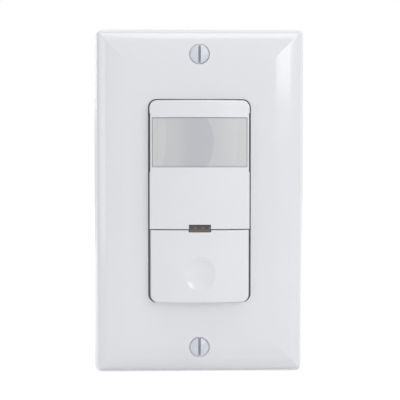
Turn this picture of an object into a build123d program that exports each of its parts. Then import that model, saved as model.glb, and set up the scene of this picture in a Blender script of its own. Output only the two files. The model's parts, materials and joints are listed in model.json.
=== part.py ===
from build123d import *
import math
import os

# Wall-switch occupancy sensor with its screwed wall plate, in millimetres.
# X points right and Z up. Y points into the wall, so the front faces -Y.
# The origin is the centre of the device on the wall plane, where the plate's rim ends.

os.makedirs("parts", exist_ok=True)

# Shared by many pieces: a slip fit, the root of a feature in the wall it stands on,
# how far a cutter runs past a surface, and how near an edge lies when it is picked
slip_fit = 0.05
join = 0.2
past = 1.0
near = 0.01
cutter_reach = 5.0

# Wall plate
plate_width = 69.85
plate_height = 114.3
plate_corner = 1.6
plate_least_corner = 0.3
plate_rim = 2.0
plate_skin = 2.0
plate_side_run = 1.3
plate_bevel_run = 2.8
plate_bevel_rise = 1.35
plate_slope_run = 5.0
plate_slope_rise = 0.75
plate_gap = 0.3
opening_gap = 0.3
opening_edge = 0.35
plate_hole_pitch = 96.84
plate_hole_radius = 2.0
sink_radius = 3.55
sink_half_angle = 41.0
sink_boss_wall = 1.1

# Machine screws
thread_radius = 1.7526
neck_radius = 1.68
box_neck_radius = 1.45
screw_fit = 0.06
oval_head_radius = 3.12
oval_dome = 0.95
oval_slot_width = 0.75
oval_slot_depth = 1.2
plate_screw_length = 14.0
truss_head_radius = 3.4
truss_head_height = 1.45
head_edge_share = 0.3
truss_slot_width = 1.1
truss_slot_depth = 0.8
box_screw_length = 24.0
screw_tip = 0.6

# Mounting strap
strap_standoff = 0.2
strap_thickness = 1.5
strap_side_margin = 0.25
strap_end_margin = 1.8
strap_length = 105.4
ear_width = 33.0
ear_corner = 3.0
box_screw_pitch = 83.34
box_slot_length = 7.4
box_slot_width = 4.2
ear_notch_radius = 1.2
ear_notch_step = 4.2
ground_tab_thickness = 1.5
ground_tab_width = 9.0
ground_tab_reach = 9.5
ground_tab_gap = 2.0
ground_head_radius = 3.6
ground_head_height = 2.0
ground_screw_length = 8.0
retainer_width = 10.0
retainer_height = 7.4
retainer_thickness = 0.8
retainer_gap = 0.8
retainer_corner = 1.0

# Face of the device
face_width = 32.8
face_height = 66.2
face_corner = 2.4
face_proud = 2.4
face_bulge = 1.95
face_edge = 0.45
face_skin = 1.8
face_wall = 1.6
side_relief = 0.25
relief_margin = 1.6
slit = 0.4
button_top_z = -9.4

# Front housing behind the face
flange_side_inset = 0.5
flange_end_inset = 0.9
flange_corner = 2.5
flange_thickness = 1.6
skirt_wall = 1.5
skirt_depth = 3.5
skirt_gap = 0.2
skirt_side = 0.6
skirt_end_gap = 1.6
boss_radius = 2.5
boss_pitch_x = 26.8
boss_end_inset = 4.6
pilot_depth = 8.5

# Lens
lens_height = 16.05
lens_centre_z = 19.35
lens_post = 0.55
lens_gap = 0.08
lens_recess = 0.12
lens_thickness = 0.8
lens_ledge = 1.1
lens_groove = 0.15
lens_groove_width = 0.1
lens_facets = 6
hook_width = 3.0
hook_thickness = 0.8
hook_barb = 0.5
hook_barb_length = 0.8
hook_offset = 8.0
retainer_frame_thickness = 1.0
retainer_frame_band = 1.6
retainer_frame_gap = 0.3

# Push button
button_wall = 1.5
button_back_gap = 1.1
pivot_drop = 3.2
pivot_front = 1.9
pivot_pin_radius = 0.8
lug_thickness = 1.6
lug_margin = 0.6
lug_side_gap = 1.0
dimple_radius = 4.6
dimple_depth = 0.7
dimple_z = -23.5
stop_drop = 7.4
stop_width = 3.0
stop_thickness = 1.2
stop_barb = 0.6
stop_barb_length = 0.7
stop_fit = 0.1
stop_clearance = 0.35
stop_root = 2.0

# Plunger and tactile switch
plunger_drop = 8.6
plunger_radius = 1.3
plunger_fit = 0.08
plunger_collar_radius = 2.0
plunger_collar_thickness = 0.7
plunger_free_gap = 0.1
button_post_past_pivot = 0.2
guide_wall = 1.3
guide_depth = 4.2
tact_size = 6.0
tact_height = 3.5
tact_stem_radius = 1.7
tact_stem_out = 0.8
tact_stem_in = 1.1
tact_stem_fit = 0.1
tact_well = 0.5

# Status window
window_width = 7.1
window_top_z = -7.6
window_bottom_z = -9.9
window_gap = 0.06
window_sink = 0.1
window_button_gap = 0.3
window_flange = 1.2
window_flange_thickness = 0.8
pipe_width = 5.6
pipe_height = 1.7
pipe_clearance = 0.3

# Setting dials
dial_pitch = 7.6
dial_z = -28.0
dial_head_radius = 2.8
dial_head_thickness = 1.7
dial_recess = 0.4
dial_shaft_radius = 1.5
dial_fit = 0.06
dial_shaft_in = 2.5
dial_slot_width = 0.8
dial_slot_depth = 0.8
trimmer_size = 6.0
trimmer_height = 4.0
trimmer_well = 0.2

# Boards
control_front = 8.0
board_thickness = 1.6
board_gap = 17.0
board_side_gap = 0.8
board_corner = 2.0
pcb_hole_fit = 0.2
led_width = 1.6
led_height = 0.9
led_depth = 0.8
led_spread = 2.2
photocell_width = 1.6
chip_width = 4.0
chip_length = 9.0
chip_depth = 1.5
chip_x = 11.5
chip_z = -3.0
pir_radius = 4.1
pir_flange_radius = 4.6
pir_flange_thickness = 0.5
pir_height = 4.7
pir_window_width = 5.2
pir_window_height = 4.2
pir_window_thickness = 0.5
header_pins = 7
header_pitch = 2.54
header_pin = 0.64
header_strip = 2.5
header_edge = 2.8
header_tail = 1.0

# Relay
relay_width = 15.5
relay_length = 19.0
relay_height = 15.0
relay_tail_gap = 2.1
relay_z = 13.5
relay_wall = 0.8
relay_base = 2.0
relay_coil_radius = 3.8
relay_coil_lift = 0.3
relay_coil_length = 8.6
relay_core_radius = 1.5
relay_core_proud = 0.3
relay_flange_radius = 4.4
relay_flange_thickness = 0.8
relay_yoke_thickness = 1.6
relay_yoke_width = 9.0
relay_yoke_gap = 0.5
relay_side_gap = 0.6
relay_ear_thickness = 0.8
relay_ear_margin = 0.6
armature_thickness = 1.3
armature_gap = 0.6
armature_pin_radius = 0.4
armature_side_gap = 0.15
armature_yoke_gap = 0.25
armature_overhang = 0.5

# Other parts on the power board
film_capacitor_width = 9.5
film_capacitor_length = 18.0
film_capacitor_height = 12.0
film_capacitor_corner = 0.5
film_capacitor_x = 8.8
film_capacitor_z = 13.0
can_radius = 5.0
can_height = 13.0
can_groove_start = 1.6
can_groove_width = 0.6
can_groove_depth = 0.35
can_x = -8.5
can_z = -7.0
varistor_radius = 5.0
varistor_thickness = 4.0
varistor_x = 4.5
varistor_z = -3.0
lead_radius = 0.4
lead_length = 2.0
resistor_radius = 1.8
resistor_length = 9.0
resistor_x = 4.0
resistor_z = -10.5
resistor_lift = 0.6
resistor_wire = 2.5
choke_radius = 4.0
choke_flange = 1.0
choke_neck = 2.8
choke_height = 8.0
choke_x = 8.5
choke_z = -19.0
diode_count = 4
diode_pitch = 3.6
diode_radius = 1.3
diode_length = 5.0
diode_x = -3.2
diode_z = -19.0

# Rear housing
rear_width = 43.5
rear_height = 70.4
rear_wall = 1.6
rear_floor = 1.6
rear_corner = 2.5
rear_edge = 1.2
rear_lead_space = 3.2
post_radius = 2.2
post_step_radius = 4.0
post_bore_gap = 0.3
housing_screw_radius = 1.5
housing_screw_end_gap = 1.0
housing_head_radius = 2.7
housing_head_height = 1.6
housing_head_gap = 0.4
housing_head_sink = 2.2
cross_width = 0.9
cross_length = 3.0
cross_depth = 1.0

# Wire terminals
pocket_width = 12.0
pocket_length = 14.0
pocket_depth = 3.0
pocket_wall = 1.2
pocket_start = 1.4
terminal_z = 12.0
terminal_width = 9.0
terminal_length = 11.0
terminal_thickness = 1.0
terminal_head_radius = 3.9
terminal_head_height = 1.7
terminal_head_gap = 0.25
terminal_screw_length = 3.2
tail_thickness = 0.8
tail_width = 3.0
tail_inset = 1.2
tail_setback = 0.7
terminal_screw_shift = 1.0
tail_fit = 0.15
tail_end = 1.0

# Depths measured from the wall plane; a negative depth is towards the front
strap_back = -strap_standoff
strap_front = strap_back - strap_thickness
flange_front = strap_front - flange_thickness
plate_inside = flange_front - plate_gap
plate_front = plate_inside - plate_skin
face_side_y = plate_front - face_proud
crown_y = face_side_y - face_bulge
face_radius = ((face_width / 2) ** 2 + face_bulge**2) / (2 * face_bulge)
far_front = crown_y - cutter_reach
control_back = control_front + board_thickness
power_front = control_back + board_gap
power_back = power_front + board_thickness
rear_front = strap_back
rear_inside = power_back + rear_lead_space
rear_back = rear_inside + rear_floor


def crown_back(inset, x):
    """The depth of the inset face at a distance x from the middle."""
    return crown_y + face_radius - math.sqrt((face_radius - inset) ** 2 - x**2)


# Heights and widths that follow from the driving sizes
strap_width = rear_width + 2 * strap_side_margin
strap_middle_height = rear_height + 2 * strap_end_margin
flange_width = rear_width - 2 * flange_side_inset
flange_height = rear_height - 2 * flange_end_inset
face_top = face_height / 2
face_bottom = -face_height / 2
panel_bottom_z = button_top_z + slit
relief_width = face_width - 2 * side_relief
lens_width = relief_width - 2 * (lens_post + lens_gap)
lens_top = lens_centre_z + lens_height / 2
lens_bottom = lens_centre_z - lens_height / 2
inner_width = face_width - 2 * face_wall
pivot_z = button_top_z - pivot_drop
pivot_y = flange_front - pivot_front
plunger_z = pivot_z - plunger_drop
button_back_y = flange_front - button_back_gap
button_inner_x = relief_width / 2 - button_wall
lug_outer_x = button_inner_x - lug_side_gap
lug_inner_x = lug_outer_x - lug_thickness
skirt_width = face_width + 2 * skirt_side
skirt_height = rear_height - 2 * (rear_wall + skirt_end_gap)
board_width = rear_width - 2 * (rear_wall + board_side_gap)
board_height = rear_height - 2 * (rear_wall + board_side_gap)
lens_frame_x = inner_width / 2 - retainer_frame_gap
lens_frame_front = crown_back(face_skin, lens_frame_x) + slip_fit
lens_frame_back = lens_frame_front + retainer_frame_thickness
button_inner_height = button_top_z - face_bottom - 2 * button_wall
button_post_y = pivot_y + button_post_past_pivot
plunger_front = button_post_y + plunger_free_gap
stop_z = pivot_z - stop_drop
window_z = (window_top_z + window_bottom_z) / 2
tact_front = control_front - tact_height
stem_front = tact_front - tact_stem_out
trimmer_front = control_front - trimmer_height
ground_screw_y = strap_back + ground_tab_reach / 2
ground_screw_z = -(rear_height + ground_tab_width) / 2 - ground_tab_gap
pocket_front = control_back + pocket_start
pocket_floor_x = rear_width / 2 - pocket_depth
terminal_screw_y = pocket_front + pocket_length / 2 - terminal_screw_shift
tail_inner_x = pocket_floor_x - pocket_wall - tail_inset
relay_x = relay_width / 2 + relay_tail_gap - tail_inner_x
tail_front = pocket_front + (pocket_length + terminal_length) / 2 - tail_setback - tail_thickness
coil_y = power_front - relay_base - relay_coil_lift - relay_flange_radius
yoke_front = coil_y - relay_flange_radius - relay_yoke_gap - relay_yoke_thickness
coil_bottom = relay_z - relay_length / 2 + relay_wall + relay_side_gap + relay_yoke_thickness
core_end = coil_bottom + 2 * relay_flange_thickness + relay_coil_length + relay_core_proud
armature_y = yoke_front + relay_yoke_thickness / 2
armature_z = core_end + armature_gap + armature_thickness / 2
yoke_top = armature_z - armature_thickness / 2 - armature_yoke_gap
terminal_places = {
    "line_terminal": (-1, terminal_z),
    "load_terminal": (-1, -terminal_z),
    "neutral_terminal": (1, terminal_z),
}
boss_z = rear_height / 2 - rear_wall - boss_end_inset
boss_places = [(sx * boss_pitch_x / 2, sz * boss_z) for sx in (-1, 1) for sz in (-1, 1)]
header_z = board_height / 2 - header_edge
dial_places = [(step * dial_pitch, dial_z) for step in (-1, 0, 1)]


def across(sketch, front, back, x=0.0, z=0.0):
    """Fill y from front to back with a face drawn in X and Z."""
    return extrude(Plane.XZ.offset(-back) * Pos(x, z) * sketch, back - front)


def sideways(sketch, left, right, y=0.0, z=0.0):
    """Fill x from left to right with a face drawn in Y and Z."""
    return extrude(Plane.YZ.offset(left) * Pos(y, z) * sketch, right - left)


def block(x_range, y_range, z_range):
    """A box between two values on each axis."""
    size = [high - low for low, high in (x_range, y_range, z_range)]
    middle = [(high + low) / 2 for low, high in (x_range, y_range, z_range)]
    return Pos(*middle) * Box(*size)


def turned(outline, x=0.0, z=0.0):
    """Turn an outline of (radius, y) about an axis along Y."""
    return Pos(x, 0, z) * revolve(make_face(outline), Axis.Y, 360)


def crown(inset=0.0):
    """The drum whose surface is the curved face, shrunk by an inset."""
    return Pos(0, crown_y + face_radius, 0) * Cylinder(face_radius - inset, 2 * face_height)


def group(pieces):
    """Several separate solids in one node."""
    return Compound([solid for piece in pieces for solid in piece.solids()])


# Wall plate and its screws
def plate_stages():
    """Inset from the plate's edge and depth, from the wall to the flat front."""
    bevel_end = plate_side_run + plate_bevel_run
    return [
        (0.0, 0.0),
        (plate_side_run, plate_front + plate_slope_rise + plate_bevel_rise),
        (bevel_end, plate_front + plate_slope_rise),
        (bevel_end + plate_slope_run, plate_front),
    ]


def plate_loft(stages):
    faces = []
    for inset, y in stages:
        corner = max(plate_corner - inset, plate_least_corner)
        outline = RectangleRounded(plate_width - 2 * inset, plate_height - 2 * inset, corner)
        faces.append(Plane.XZ.offset(-y) * outline)
    return loft(faces, ruled=True)


def make_wall_plate():
    stages = plate_stages()
    hollow = [(plate_rim, past), (plate_rim, 0.0)]
    hollow += [(inset + plate_rim, y + plate_skin) for inset, y in stages[1:]]
    plate = plate_loft(stages) - plate_loft(hollow)
    opening_width = face_width + 2 * opening_gap
    opening_height = face_height + 2 * opening_gap
    opening = RectangleRounded(opening_width, opening_height, face_corner + opening_gap)
    plate -= across(opening, far_front, plate_inside + past)
    rim = plate.edges().filter_by(
        lambda e: abs(e.center().Y - plate_front) < near
        and abs(e.center().X) < opening_width / 2 + near
        and abs(e.center().Z) < opening_height / 2 + near
    )
    plate = fillet(rim, opening_edge)
    sink_depth = (sink_radius - plate_hole_radius) / math.tan(math.radians(sink_half_angle))
    sink_end = plate_front + sink_depth
    boss_back = strap_front - plate_gap
    for side in (-1, 1):
        z = side * plate_hole_pitch / 2
        boss = Circle(plate_hole_radius + sink_boss_wall)
        plate += across(boss, plate_front + plate_skin / 2, boss_back, 0, z)
        sink = Polyline(
            (0, plate_front),
            (sink_radius, plate_front),
            (plate_hole_radius, sink_end),
            (plate_hole_radius, boss_back + past),
            (0, boss_back + past),
            close=True,
        )
        plate -= turned(sink, 0, z)
    return plate


def screw_slot(width, depth, head_front, reach, z):
    """A cutter for an upright slot across a screw's head."""
    y_range = (head_front - past, head_front + depth)
    return block((-width / 2, width / 2), y_range, (z - reach, z + reach))


def make_wall_plate_screws():
    half_angle = math.radians(sink_half_angle)
    slope = math.tan(half_angle)
    rim_y = plate_front + (sink_radius - oval_head_radius) / slope - screw_fit / math.sin(half_angle)
    neck_y = rim_y + (oval_head_radius - neck_radius) / slope
    top_y = rim_y - oval_dome
    end_y = rim_y + plate_screw_length
    mid_radius = oval_head_radius / 2
    dome_radius = (oval_head_radius**2 + oval_dome**2) / (2 * oval_dome)
    mid_y = top_y + dome_radius - math.sqrt(dome_radius**2 - mid_radius**2)
    screws = []
    for side in (-1, 1):
        z = side * plate_hole_pitch / 2
        outline = ThreePointArc((0, top_y), (mid_radius, mid_y), (oval_head_radius, rim_y))
        outline += Polyline(
            (oval_head_radius, rim_y),
            (neck_radius, neck_y),
            (neck_radius, end_y - screw_tip),
            (neck_radius - screw_tip, end_y),
            (0, end_y),
            (0, top_y),
        )
        slot = screw_slot(oval_slot_width, oval_slot_depth, top_y, oval_head_radius + past, z)
        screws.append(turned(outline, 0, z) - slot)
    return group(screws)


# Mounting strap, its screws and their retainers
def make_mounting_strap():
    middle = RectangleRounded(strap_width, strap_middle_height, ear_corner)
    ears = RectangleRounded(ear_width, strap_length, ear_corner)
    strap = across(middle, strap_front, strap_back) + across(ears, strap_front, strap_back)
    window_outline = RectangleRounded(
        skirt_width + 2 * skirt_gap, skirt_height + 2 * skirt_gap, face_corner + skirt_gap
    )
    strap -= across(window_outline, strap_front - past, strap_back + past)
    for side in (-1, 1):
        slot = SlotOverall(box_slot_length, box_slot_width)
        strap -= across(slot, strap_front - past, strap_back + past, 0, side * box_screw_pitch / 2)
        plate_hole = Circle(neck_radius + screw_fit)
        strap -= across(plate_hole, strap_front - past, strap_back + past, 0, side * plate_hole_pitch / 2)
        for hand in (-1, 1):
            notch = Circle(ear_notch_radius)
            end_x = hand * (ear_width / 2 - 2 * ear_notch_step)
            strap -= across(notch, strap_front - past, strap_back + past, end_x, side * strap_length / 2)
            side_x = hand * ear_width / 2
            side_z = side * plate_hole_pitch / 2
            strap -= across(notch, strap_front - past, strap_back + past, side_x, side_z)
    tab_x = (-ear_width / 2, -ear_width / 2 + ground_tab_thickness)
    tab_z = (ground_screw_z - ground_tab_width / 2, ground_screw_z + ground_tab_width / 2)
    strap += block(tab_x, (strap_front, strap_back + ground_tab_reach), tab_z)
    hole = Circle(neck_radius + screw_fit)
    strap -= sideways(hole, tab_x[0] - past, tab_x[1] + past, ground_screw_y, ground_screw_z)
    return strap


def truss_screw(head_radius, neck, head_front, seat, neck_end, end):
    """A domed slotted screw along Y whose head sits on a seat."""
    edge_y = seat - head_edge_share * (seat - head_front)
    mid_radius = head_radius / 2
    height = edge_y - head_front
    dome_radius = (head_radius**2 + height**2) / (2 * height)
    mid_y = head_front + dome_radius - math.sqrt(dome_radius**2 - mid_radius**2)
    outline = ThreePointArc((0, head_front), (mid_radius, mid_y), (head_radius, edge_y))
    outline += Polyline(
        (head_radius, edge_y),
        (head_radius, seat),
        (neck, seat),
        (neck, neck_end),
        (thread_radius, neck_end),
        (thread_radius, end - screw_tip),
        (thread_radius - screw_tip, end),
        (0, end),
        (0, head_front),
    )
    return turned(outline)


def make_box_mounting_screws():
    head_front = strap_front - truss_head_height
    neck_end = strap_back + retainer_thickness + screw_fit
    screws = []
    for side in (-1, 1):
        z = side * box_screw_pitch / 2
        end = strap_front + box_screw_length
        screw = truss_screw(truss_head_radius, box_neck_radius, head_front, strap_front, neck_end, end)
        slot = screw_slot(truss_slot_width, truss_slot_depth, head_front, truss_head_radius, z)
        screws.append(Pos(0, 0, z) * screw - slot)
    return group(screws)


def make_screw_retainers():
    screw_z = box_screw_pitch / 2
    low_z = rear_height / 2 + retainer_gap
    high_z = screw_z + retainer_height / 2
    outline = RectangleRounded(retainer_width, high_z - low_z, retainer_corner)
    washer = Pos(0, (low_z + high_z) / 2) * outline
    washer -= Pos(0, screw_z) * Circle(box_neck_radius + screw_fit / 2)
    upper = across(washer, strap_back, strap_back + retainer_thickness)
    return group([upper, mirror(upper, Plane.XY)])


def make_ground_screw():
    seat_x = -ear_width / 2
    end_x = seat_x - ground_head_height
    head = sideways(RegularPolygon(ground_head_radius, 6), end_x, seat_x, ground_screw_y, ground_screw_z)
    shank_end = seat_x + ground_screw_length
    shank = sideways(Circle(neck_radius), seat_x, shank_end, ground_screw_y, ground_screw_z)
    slot = block(
        (end_x - past, end_x + truss_slot_depth),
        (ground_screw_y - truss_slot_width / 2, ground_screw_y + truss_slot_width / 2),
        (ground_screw_z - 2 * ground_head_radius, ground_screw_z + 2 * ground_head_radius),
    )
    return head + shank - slot


# Front housing
def face_outline(width):
    return RectangleRounded(width, face_height, face_corner)


def round_front(body, radius, low_z, high_z):
    """Round the edge of a curved face between two heights."""
    edges = body.edges().filter_by(
        lambda e: e.center().Y < face_side_y + near and low_z < e.center().Z < high_z
    )
    return fillet(edges, radius)


def lens_zone(margin, front, back):
    return block(
        (-lens_width / 2 - margin, lens_width / 2 + margin),
        (front, back),
        (lens_bottom - margin, lens_top + margin),
    )


def make_front_housing():
    upper = block((-face_width, face_width), (far_front, strap_front), (panel_bottom_z, face_top + past))
    panel = across(face_outline(face_width), far_front, flange_front) & upper & crown()
    panel = round_front(panel, face_edge, panel_bottom_z + slit, face_top + past)
    hollow_low = panel_bottom_z + face_wall
    hollow = block(
        (-inner_width / 2, inner_width / 2), (far_front, strap_front), (hollow_low, face_top - face_wall)
    )
    flange_outline = RectangleRounded(flange_width, flange_height, flange_corner)
    flange = across(flange_outline, flange_front, strap_front)
    skirt_outline = RectangleRounded(skirt_width, skirt_height, face_corner)
    skirt_outline -= RectangleRounded(
        skirt_width - 2 * skirt_wall, skirt_height - 2 * skirt_wall, face_corner - skirt_wall / 2
    )
    skirt = across(skirt_outline, strap_front, strap_front + skirt_depth)
    housing = panel + flange - (hollow & crown(face_skin)) + skirt
    for hand in (-1, 1):
        relief = sorted((hand * relief_width / 2, hand * face_width))
        relief_z = (lens_bottom - relief_margin, lens_top + relief_margin)
        housing -= block(relief, (far_front, flange_front), relief_z)
    housing -= lens_zone(lens_gap, far_front, flange_front) - crown(lens_recess + lens_thickness + slip_fit)
    housing -= lens_zone(-lens_ledge, far_front, flange_front)
    for x, z in boss_places:
        housing += across(Circle(boss_radius), flange_front, control_front, x, z)
        bore = Circle(housing_screw_radius + slip_fit)
        housing -= across(bore, control_front - pilot_depth, control_front + past, x, z)
    for hand in (-1, 1):
        lug_x = sorted((hand * lug_inner_x, hand * lug_outer_x))
        lug_half = pivot_pin_radius + lug_margin
        lug_y = (pivot_y - lug_half, flange_front + join)
        housing += block(lug_x, lug_y, (pivot_z - lug_half, pivot_z + lug_half))
        bore = Circle(pivot_pin_radius + slip_fit)
        housing -= sideways(bore, lug_x[0] - join, lug_x[1] + join, pivot_y, pivot_z)
        housing -= block(*stop_slot_box(hand))
    guide = Circle(plunger_radius + plunger_fit + guide_wall)
    housing += across(guide, strap_front - join, strap_front + guide_depth, 0, plunger_z)
    guide_bore = Circle(plunger_radius + plunger_fit)
    housing -= across(guide_bore, flange_front - past, control_front, 0, plunger_z)
    dial_hole = Circle(dial_head_radius + dial_fit)
    for x, z in dial_places:
        housing -= across(dial_hole, flange_front - past, strap_front + past, x, z)
    housing -= window_block(window_gap, far_front, strap_front + past)
    behind_skin = block(
        (-window_width / 2 - window_gap, window_width / 2 + window_gap),
        (far_front, strap_front + past),
        (window_bottom_z - window_gap, hollow_low + join),
    )
    housing -= behind_skin & crown(face_skin)
    return housing


# Lens and the frame that holds it
def make_fresnel_lens():
    sheet = lens_zone(0, far_front, flange_front) & crown(lens_recess)
    sheet -= crown(lens_recess + lens_thickness)
    pitch = lens_width / lens_facets
    half = lens_groove_width / 2
    cuts = []
    for i in range(1, lens_facets):
        x = i * pitch - lens_width / 2
        cuts.append(block((x - half, x + half), (far_front, 0), (lens_bottom, lens_top)))
    row_z = (lens_centre_z - half, lens_centre_z + half)
    cuts.append(block((-lens_width / 2, lens_width / 2), (far_front, 0), row_z))
    groove_drum = crown(lens_recess + lens_thickness - lens_groove)
    for cut in cuts:
        sheet -= cut & groove_drum
    for hand in (-1, 1):
        for side in (-1, 1):
            x = hand * hook_offset
            outer = lens_centre_z + side * (lens_height / 2 - lens_ledge - lens_gap)
            inner = outer - side * hook_thickness
            tip = outer + side * (hook_barb + lens_gap)
            x_range = (x - hook_width / 2, x + hook_width / 2)
            start = crown_back(lens_recess + lens_thickness / 2, abs(x) + hook_width / 2)
            barb_front = lens_frame_back + lens_gap
            barb_back = barb_front + hook_barb_length
            sheet += block(x_range, (start, barb_back), sorted((inner, outer)))
            sheet += block(x_range, (barb_front, barb_back), sorted((inner, tip)))
    return sheet


def make_lens_frame():
    width = 2 * lens_frame_x
    window_height = lens_height - 2 * lens_ledge
    outline = Rectangle(width, window_height + 2 * retainer_frame_band)
    outline -= Rectangle(width - 2 * retainer_frame_band, window_height)
    return across(outline, lens_frame_front, lens_frame_back, 0, lens_centre_z)


# Push button
def make_push_button():
    lower_z = (face_bottom - past, button_top_z)
    lower = block((-face_width, face_width), (far_front, flange_front), lower_z)
    outer = across(face_outline(relief_width), far_front, button_back_y) & lower & crown()
    outer = round_front(outer, face_edge, face_bottom - past, button_top_z - slit)
    inner_corner = face_corner - button_wall / 2
    inner = RectangleRounded(2 * button_inner_x, button_inner_height, inner_corner)
    inner_z = button_top_z - button_wall - button_inner_height / 2
    hollow = across(inner, far_front, button_back_y + past, 0, inner_z)
    button = outer - (hollow & crown(button_wall))
    button -= window_block(window_button_gap, far_front, button_back_y + past)
    sphere_radius = (dimple_radius**2 + dimple_depth**2) / (2 * dimple_depth)
    button -= Pos(0, crown_y + dimple_depth - sphere_radius, dimple_z) * Sphere(sphere_radius)
    post_front = crown_y + button_wall / 2 + dimple_depth
    button += across(Circle(plunger_radius), post_front, button_post_y, 0, plunger_z)
    for hand in (-1, 1):
        wall_x = hand * (button_inner_x + join)
        pin = sorted((hand * (lug_inner_x - join), wall_x))
        button += sideways(Circle(pivot_pin_radius), pin[0], pin[1], pivot_y, pivot_z)
        inner_x = hand * (button_inner_x - stop_thickness)
        barb_x = hand * (button_inner_x - stop_thickness - stop_barb)
        z_range = (stop_z - stop_width / 2, stop_z + stop_width / 2)
        barb_front = strap_front + stop_fit
        barb_back = barb_front + stop_barb_length
        hook_x = hand * button_inner_x
        root_y = button_back_y - stop_root
        button += block(sorted((wall_x, inner_x)), (root_y, button_back_y), z_range)
        button += block(sorted((hook_x, inner_x)), (root_y, barb_back), z_range)
        button += block(sorted((hook_x, barb_x)), (barb_front, barb_back), z_range)
    return button


def stop_slot_box(hand):
    """The slot in the front housing's floor for one of the button's stop hooks."""
    inner_x = hand * (button_inner_x - stop_thickness - stop_clearance)
    outer_x = hand * (button_inner_x + stop_clearance)
    half = stop_width / 2 + stop_clearance
    y_range = (flange_front - past, strap_front + past)
    return sorted((inner_x, outer_x)), y_range, (stop_z - half, stop_z + half)


# Plunger and tactile switch
def make_button_plunger():
    collar_back = plunger_front + plunger_collar_thickness
    collar = across(Circle(plunger_collar_radius), plunger_front, collar_back, 0, plunger_z)
    return collar + across(Circle(plunger_radius), plunger_front, stem_front, 0, plunger_z)


def make_tact_switch_stem():
    return across(Circle(tact_stem_radius), stem_front, tact_front + tact_stem_in, 0, plunger_z)


def make_tact_switch_body():
    body = across(Rectangle(tact_size, tact_size), tact_front, control_front, 0, plunger_z)
    well_end = tact_front + tact_stem_in + tact_well
    well = Circle(tact_stem_radius + tact_stem_fit)
    return body - across(well, tact_front - past, well_end, 0, plunger_z)


# Status window, its lamps and the light sensor
def window_block(margin, front, back):
    half = window_width / 2 + margin
    return block((-half, half), (front, back), (window_bottom_z - margin, window_top_z + margin))


def make_status_window():
    body = window_block(0, far_front, strap_front) & crown(window_sink)
    body += window_block(window_flange, strap_front, strap_front + window_flange_thickness)
    pipe_end = control_front - led_depth - pipe_clearance
    return body + across(Rectangle(pipe_width, pipe_height), strap_front, pipe_end, 0, window_z)


def make_status_lamps():
    return group(
        [
            across(Rectangle(led_width, led_height), control_front - led_depth, control_front, x, window_z)
            for x in (-led_spread, led_spread)
        ]
    )


def make_photocell():
    face = Rectangle(photocell_width, photocell_width)
    return across(face, control_front - led_depth, control_front, 0, window_z)


# Setting dials and their trimmers
def setting_dial(x, z):
    front = flange_front + dial_recess
    back = front + dial_head_thickness
    dial = across(Circle(dial_head_radius), front, back, x, z)
    dial += across(Circle(dial_shaft_radius), back, trimmer_front + dial_shaft_in, x, z)
    bar = Rectangle(dial_slot_width, 3 * dial_head_radius)
    slot = across(bar, front - past, front + dial_slot_depth, x, z)
    mark_z = z + dial_head_radius - dial_slot_width / 2
    mark = across(Circle(dial_slot_width), front - past, front + dial_slot_depth / 2, x, mark_z)
    return dial - slot - mark


def make_trimmer_bodies():
    bodies = []
    for x, z in dial_places:
        body = across(Rectangle(trimmer_size, trimmer_size), trimmer_front, control_front, x, z)
        well_end = trimmer_front + dial_shaft_in + trimmer_well
        well = across(Circle(dial_shaft_radius + dial_fit), trimmer_front - past, well_end, x, z)
        bodies.append(body - well)
    return group(bodies)


# Infrared sensor
def make_pir_sensor():
    flange_y = control_front - pir_flange_thickness
    can_front = control_front - pir_height
    can = across(Circle(pir_radius), can_front, flange_y, 0, lens_centre_z)
    can += across(Circle(pir_flange_radius), flange_y, control_front, 0, lens_centre_z)
    aperture = Rectangle(pir_window_width, pir_window_height)
    return can - across(aperture, can_front - past, can_front + pir_window_thickness, 0, lens_centre_z)


def make_pir_window():
    can_front = control_front - pir_height
    face = Rectangle(pir_window_width - 2 * slip_fit, pir_window_height - 2 * slip_fit)
    return across(face, can_front, can_front + pir_window_thickness, 0, lens_centre_z)


# Boards and what they carry
def header_places():
    half = (header_pins - 1) / 2
    return [((i - half) * header_pitch, header_z) for i in range(header_pins)]


def make_control_board():
    board = across(RectangleRounded(board_width, board_height, board_corner), control_front, control_back)
    for x, z in boss_places:
        hole = Circle(housing_screw_radius + pcb_hole_fit)
        board -= across(hole, control_front - past, control_back + past, x, z)
    pin_hole = Rectangle(header_pin + 2 * slip_fit, header_pin + 2 * slip_fit)
    for x, z in header_places():
        board -= across(pin_hole, control_front - past, control_back + past, x, z)
    return board


def make_power_board():
    board = across(RectangleRounded(board_width, board_height, board_corner), power_front, power_back)
    for x, z in boss_places:
        board -= across(Circle(post_radius + pcb_hole_fit), power_front - past, power_back + past, x, z)
    pin_hole = Rectangle(header_pin + 2 * slip_fit, header_pin + 2 * slip_fit)
    for x, z in header_places():
        board -= across(pin_hole, power_front - past, power_back + past, x, z)
    tail_hole = Rectangle(tail_thickness + 2 * tail_fit, tail_width + 2 * tail_fit)
    for hand, z in terminal_places.values():
        x = hand * (tail_inner_x + tail_thickness / 2)
        board -= across(tail_hole, power_front - past, power_back + past, x, z)
    return board


def make_board_header():
    strip = Rectangle(header_pins * header_pitch, header_strip)
    header = across(strip, power_front - header_strip, power_front, 0, header_z)
    header += across(strip, control_back, control_back + header_strip, 0, header_z)
    pin = Rectangle(header_pin, header_pin)
    for x, z in header_places():
        header += across(pin, control_front - header_tail, power_back + header_tail, x, z)
    return header


def board_chip(x):
    face = Rectangle(chip_width, chip_length)
    return across(face, control_front - chip_depth, control_front, x, chip_z)


# Relay
def relay_box(inset, front, back):
    face = Rectangle(relay_width - 2 * inset, relay_length - 2 * inset)
    return across(face, front, back, relay_x, relay_z)


def make_relay_cover():
    front = power_front - relay_height
    return relay_box(0, front, power_front) - relay_box(relay_wall, front + relay_wall, power_front + past)


def make_relay_base():
    return relay_box(relay_wall + slip_fit, power_front - relay_base, power_front)


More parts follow.
